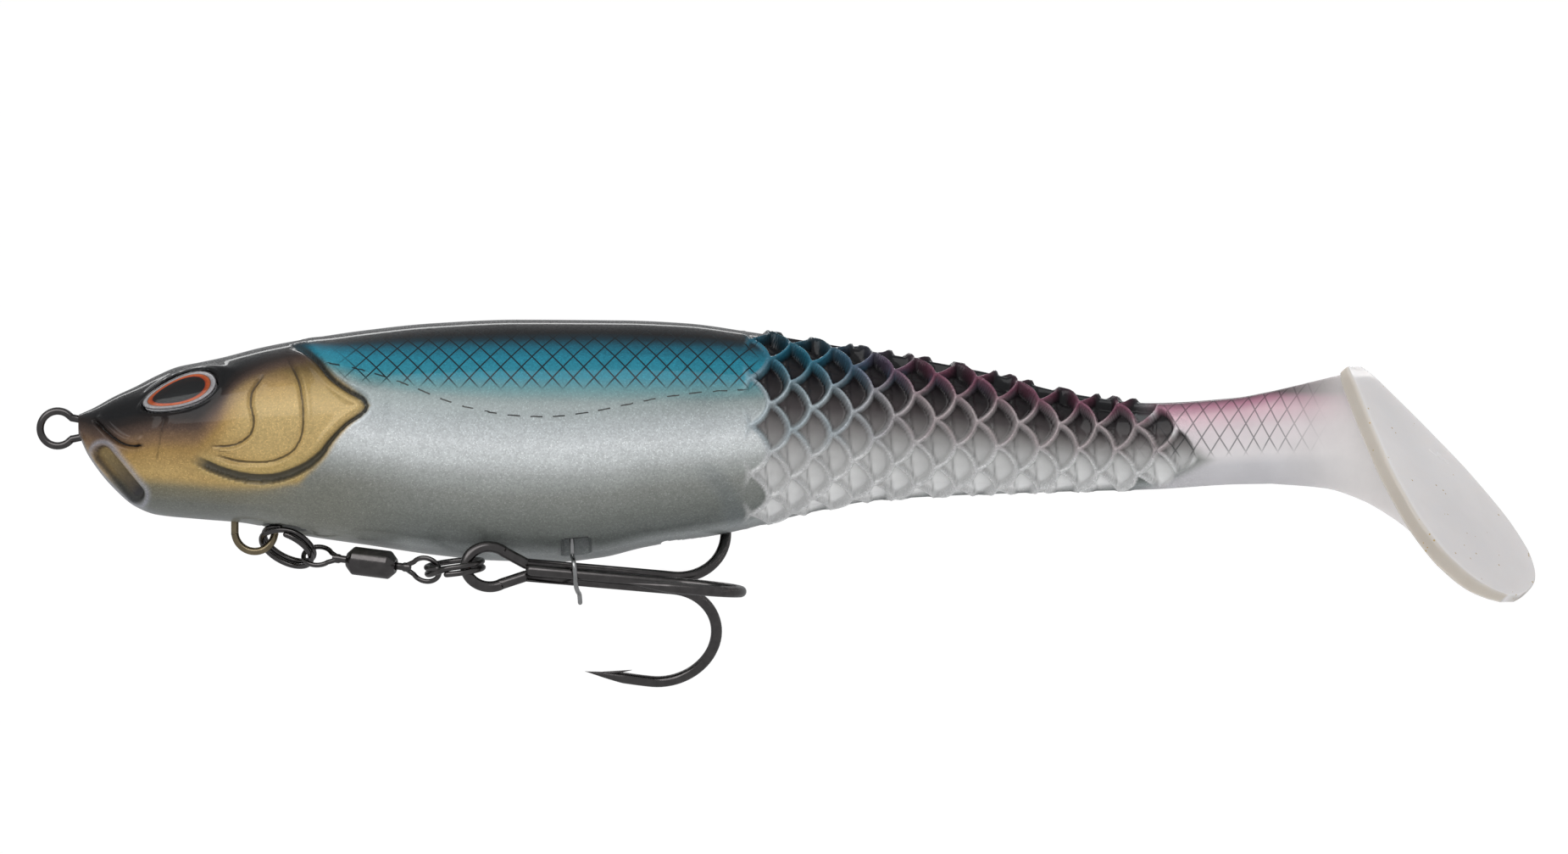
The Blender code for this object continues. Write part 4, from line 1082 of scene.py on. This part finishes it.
def hook_points(start, roll):
    """One hook from its shank round the bend to a needle point, and its taper."""
    along, _, _ = treble_axes()
    out = radial(roll)
    points, taper = [], []
    for k in range(37):
        turn = math.pi * k / 36
        points.append(start + along * (HOOK_BEND * 0.98 * math.sin(turn)) + out
                      * (HOOK_BEND * (1 - math.cos(turn))))
        taper.append(1.0)
    for k in range(1, 25):
        reach = k / 24
        points.append(start - along * (HOOK_POINT * reach) + out * (2 * HOOK_BEND - 0.7 * reach ** 1.5))
        taper.append(1.0 if reach < 0.42 else max(0.03, 1 - ((reach - 0.42) / 0.58) ** 1.15))
    return points, taper


def barb(name, start, roll, look):
    """A thin wedge raised from the inside of the point."""
    along, _, _ = treble_axes()
    out = radial(roll)
    across = along.cross(out)
    base = start - along * (HOOK_POINT * 0.50) + out * (2 * HOOK_BEND - 0.25 - HOOK_WIRE * 0.45)
    tip = start - along * (HOOK_POINT * 0.33) + out * (2 * HOOK_BEND - 0.1 - HOOK_WIRE * 1.95)
    root = start - along * (HOOK_POINT * 0.74) + out * (2 * HOOK_BEND - 0.45 - HOOK_WIRE * 0.30)
    rows = []
    for t in np.linspace(0, 1, 10):
        middle = root.lerp(tip, t)
        thick = 0.30 * (1 - 0.92 * t)
        depth = 0.42 * (1 - 0.93 * t)
        rows.append([middle + across * (thick * math.cos(a)) + out * (depth * math.sin(a) + depth * 0.5)
                     for a in np.linspace(0, 2 * math.pi, 14, endpoint=False)])
    piece = grid_mesh(name, np.array(rows), look=look)
    outward(piece.data)
    return piece


def build_treble(look):
    along, down, _ = treble_axes()
    eye = Vector(TREBLE_AT)
    leg = HOOK_WIRE + 0.06
    bend_start = eye + along * HOOK_LENGTH
    lower, lower_taper = hook_points(bend_start + down * leg, HOOK_ROLLS["lower"])
    upper, upper_taper = hook_points(bend_start - down * leg, HOOK_ROLLS["upper"])
    loop = [eye + along * (HOOK_EYE_HALF_LONG * math.cos(t)) + down * (HOOK_EYE_HALF_TALL * math.sin(t))
            for t in np.radians(52 + 256 * np.arange(49) / 48)]
    neck = eye + along * 5.2
    joint = [Vector(p) for p in finer([neck + down * leg] + loop + [neck - down * leg])]
    double = tube("double_hook", lower[::-1] + joint + upper, HOOK_WIRE, look,
                  lower_taper[::-1] + [1.0] * len(joint) + upper_taper)
    beside = radial(-90.0) * (1.74 * HOOK_WIRE + 0.22)
    points, taper = hook_points(bend_start + beside, HOOK_ROLLS["near"])
    single = tube("single_hook", [eye + along * 5.6 + beside] + points, HOOK_WIRE, look, [1.0] + taper)
    solder = tube("shank_braze", [eye + along * (6.5 + 0.8 * k) + beside * 0.5 for k in range(19)], 0.55,
                  look)
    pieces = [double, single, solder]
    for hook, aside in (("lower", down * leg), ("upper", -down * leg), ("near", beside)):
        pieces.append(barb("barb_" + hook, bend_start + aside, HOOK_ROLLS[hook], look))
    for piece in pieces:
        place(piece, "treble")
    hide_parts("treble_double_hook")
    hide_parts("treble_single_hook")


def build_swivel(look):
    along = swivel_along()
    for name, sign in (("swivel_front_eye", -1), ("swivel_rear_eye", 1)):
        eye = tube(name + "_wire", swivel_eye_path(sign), EYE_WIRE, look)
        inner = 0.5 * BARREL_LENGTH
        tip = inner + EYE_REACH - EYE_HALF_LONG - 0.1
        profile = ((inner - 2.0, 0.02), (inner - 2.0, 0.95), (inner - 1.35, 0.95),
                   (inner - 1.35, STEM_RADIUS), (inner + 0.9, STEM_RADIUS), (inner + 1.2, STEM_RADIUS + 0.14),
                   (tip - 0.15, STEM_RADIUS + 0.14), (tip, 0.02))
        stem = lathe(name + "_stem", profile, BARREL_AT, along * sign, look)
        place(eye, name, name)
        place(stem, name)
    half, hole, r = 0.5 * BARREL_LENGTH, STEM_RADIUS + 0.12, BARREL_RADIUS
    profile = [(-half, hole), (-half, 1.02), (-half + 0.12, 1.15), (-half + 0.80, r - 0.12), (-half + 1.0, r),
               (half - 1.0, r), (half - 0.80, r - 0.12), (half - 0.12, 1.15), (half, 1.02), (half, hole),
               (half - 1.0, hole), (half - 1.0, 1.25), (-half + 1.0, 1.25), (-half + 1.0, hole)]
    barrel = lathe("swivel_body", profile, BARREL_AT, along, look, 64)
    place(barrel, "swivel_barrel", "swivel_barrel")


def build_wires(looks):
    """The nose wire with its line tie, the belly hanger, the two split rings and the keeper pin."""
    loop = [(LINE_TIE_RADIUS * math.cos(t), 0.0, LINE_TIE_RADIUS * math.sin(t))
            for t in np.radians(38 + 284 * np.arange(61) / 60)]
    nose = ([(21.5, 0, -4.6), (17.0, 0, -3.4), (11.0, 0, -0.6), (6.0, 0, 1.0), (3.6, 0, 1.15)] + loop
            + [(3.6, 0, -1.15), (6.0, 0, -1.3), (11.0, 0, -3.2), (17.0, 0, -5.8), (21.5, 0, -6.9)])
    cx, _, cz = HANGER_CENTRE
    belly = ([(cx - HANGER_RADIUS, 0, -8.2)]
             + [(cx + HANGER_RADIUS * math.cos(t), 0.0, cz + HANGER_RADIUS * math.sin(t))
                for t in np.radians(180 + 180 * np.arange(41) / 40)] + [(cx + HANGER_RADIUS, 0, -8.2)])
    route = [Vector(TREBLE_AT) + treble_axes()[0] * KEEPER_STATION + Vector(p) for p in KEEPER_ROUTE]
    plan = (("line_tie_wire", nose, WIRE, "nickel", "stainless_wire", "forebody", "harness_wire"),
            ("belly_hanger", finer(belly), WIRE, "brass", "brass_wire", "forebody", "hanger_wire"),
            ("front_split_ring", ring_path(*FRONT_RING), RING_WIRE, "nickel", "black_nickel",
             "split_ring_front", "split_ring_front"),
            ("rear_split_ring", ring_path(*REAR_RING), RING_WIRE, "nickel", "black_nickel",
             "split_ring_rear", "split_ring_rear"),
            ("keeper_pin", finer(route), KEEPER_WIRE, "pin", "stainless_wire", "treble", "hook_keeper_pin"))
    for name, path, radius, look, slot_name, body, replaced in plan:
        place(tube(name, path, radius, looks[look]), body, replaced)


# --- studio -------------------------------------------------------------------------------------
def stage_piece(name, mesh, look, **visible):
    """A piece of the studio; the keywords say which kinds of ray meet it."""
    mesh.shade_smooth()
    piece = link(name, mesh, look)
    piece.visible_glossy = False
    for kind, on in visible.items():
        setattr(piece, "visible_" + kind, on)


def circle(radius, height, steps=96):
    """Points of a level circle round the object."""
    turns = np.linspace(0, 2 * math.pi, steps, endpoint=False)
    return [(STAGE_X + radius * math.cos(t), radius * math.sin(t), height) for t in turns]


def stage_mesh(name, points, faces):
    mesh = bpy.data.meshes.new(name)
    mesh.from_pydata(points, [], faces)
    return mesh


def ring_wall(name, radius, foot, head):
    """An open cylinder round the object."""
    lower, upper = circle(radius, foot), circle(radius, head)
    n = len(lower)
    return stage_mesh(name, lower + upper, [(i, (i + 1) % n, n + (i + 1) % n, n + i) for i in range(n)])


def sweep():
    """A pale floor, a curved wall that throws light back, and a white surround that only fills the view."""
    paper, tree, shader = blank("pale_paper")
    pale = blend_colour(tree, noise(tree, 3.0, 2.0), (0.90, 0.90, 0.90), (0.93, 0.93, 0.93))
    feed(tree, shader, {"Base Color": pale, "Roughness": 0.9, "Specular IOR Level": 0.1})
    disc = circle(FLOOR_RADIUS, FLOOR_HEIGHT)
    stage_piece("studio_floor", stage_mesh("studio_floor", disc, [tuple(range(len(disc)))]), paper)
    profile = [(0.9 + 0.5 * math.sin(t), 0.5 - 0.5 * math.cos(t)) for t in np.radians(np.arange(0, 91, 6))]
    profile.append((1.4, 3.2))
    count = len(profile)
    wall = stage_mesh("studio_wall", [(x, y, z + FLOOR_HEIGHT) for x in (-3.5, 3.7) for y, z in profile],
                      [(i, i + 1, count + i + 1, count + i) for i in range(count - 1)])
    stage_piece("studio_wall", wall, paper, camera=False)
    glow, tree, shader = blank("white_surround")
    feed(tree, shader, {"Base Color": (0.0, 0.0, 0.0, 1.0), "Emission Color": (1.0, 1.0, 1.0, 1.0),
                        "Emission Strength": 1.0})
    stage_piece("studio_surround", ring_wall("studio_surround", SURROUND_RADIUS, -2.0, 4.0), glow,
                diffuse=False, transmission=False, volume_scatter=False, shadow=False)


def area_light(name, at, aim, size, power, mirrored=True):
    data = bpy.data.lights.new(name, "AREA")
    data.shape = "RECTANGLE"
    data.size, data.size_y = size
    data.energy = power
    lamp = bpy.data.objects.new(name, data)
    bpy.context.scene.collection.objects.link(lamp)
    lamp.location = at
    lamp.rotation_euler = (Vector(aim) - Vector(at)).to_track_quat("-Z", "Y").to_euler()
    lamp.visible_glossy = mirrored
    lamp.visible_camera = False


def studio():
    sweep()
    world = bpy.data.worlds.new("soft_room")
    bpy.context.scene.world = world
    world.use_nodes = True
    world.node_tree.nodes["Background"].inputs[0].default_value = (0.97, 0.985, 1.0, 1.0)
    world.node_tree.nodes["Background"].inputs[1].default_value = 0.34
    aim = (0.1, 0.0, 0.0)
    area_light("key_softbox", (-0.25, -1.0, 0.75), aim, (1.5, 0.8), 5.4)
    area_light("edge_strip", (0.1, 0.80, 0.62), aim, (1.3, 0.10), 1.2)
    area_light("top_fill", (0.15, -0.1, 0.9), aim, (1.2, 0.4), 1.6, mirrored=False)
    area_light("backdrop_wash", (0.1, 0.35, 1.9), (0.1, 1.35, 0.1), (2.4, 0.6), 30.0, mirrored=False)
    bpy.context.scene.view_settings.view_transform = "Standard"


def camera():
    distance, frame_width, centre = 2.6, 0.2163, Vector((0.1002, 0.0, 0.0002))
    data = bpy.data.cameras.new("camera")
    data.sensor_width = 36.0
    data.lens = 36.0 * distance / frame_width
    data.clip_start, data.clip_end = 0.05, 20.0
    made = bpy.data.objects.new("camera", data)
    bpy.context.scene.collection.objects.link(made)
    made.location = centre + Vector((0, -distance, 0))
    made.rotation_euler = (math.radians(90), 0, 0)
    bpy.context.scene.camera = made


def main():
    camera()
    studio()
    looks = {"soft": skin_look("painted_skin", False), "tail": skin_look("clear_tail_skin", True),
             "nickel": metal_look("black_nickel", (0.085, 0.079, 0.080), (0.215, 0.203, 0.200), 0.20),
             "brass": metal_look("gilt_wire", (0.22, 0.175, 0.11), (0.48, 0.39, 0.25), 0.26),
             "pin": metal_look("bright_wire", (0.45, 0.45, 0.45), (0.66, 0.66, 0.66), 0.22)}
    build_skin(looks)
    build_paddle(paddle_look())
    foil, resin = iris_look(), resin_look()
    build_eye(1, "left", foil, resin)
    build_eye(-1, "right", foil, resin)
    build_treble(looks["nickel"])
    build_swivel(looks["nickel"])
    build_wires(looks)
    weight = metal_look("cast_weight", (0.20, 0.205, 0.215), (0.33, 0.335, 0.34), 0.55)
    bpy.data.objects["keel_weight"].material_slots[0].material = weight


main()
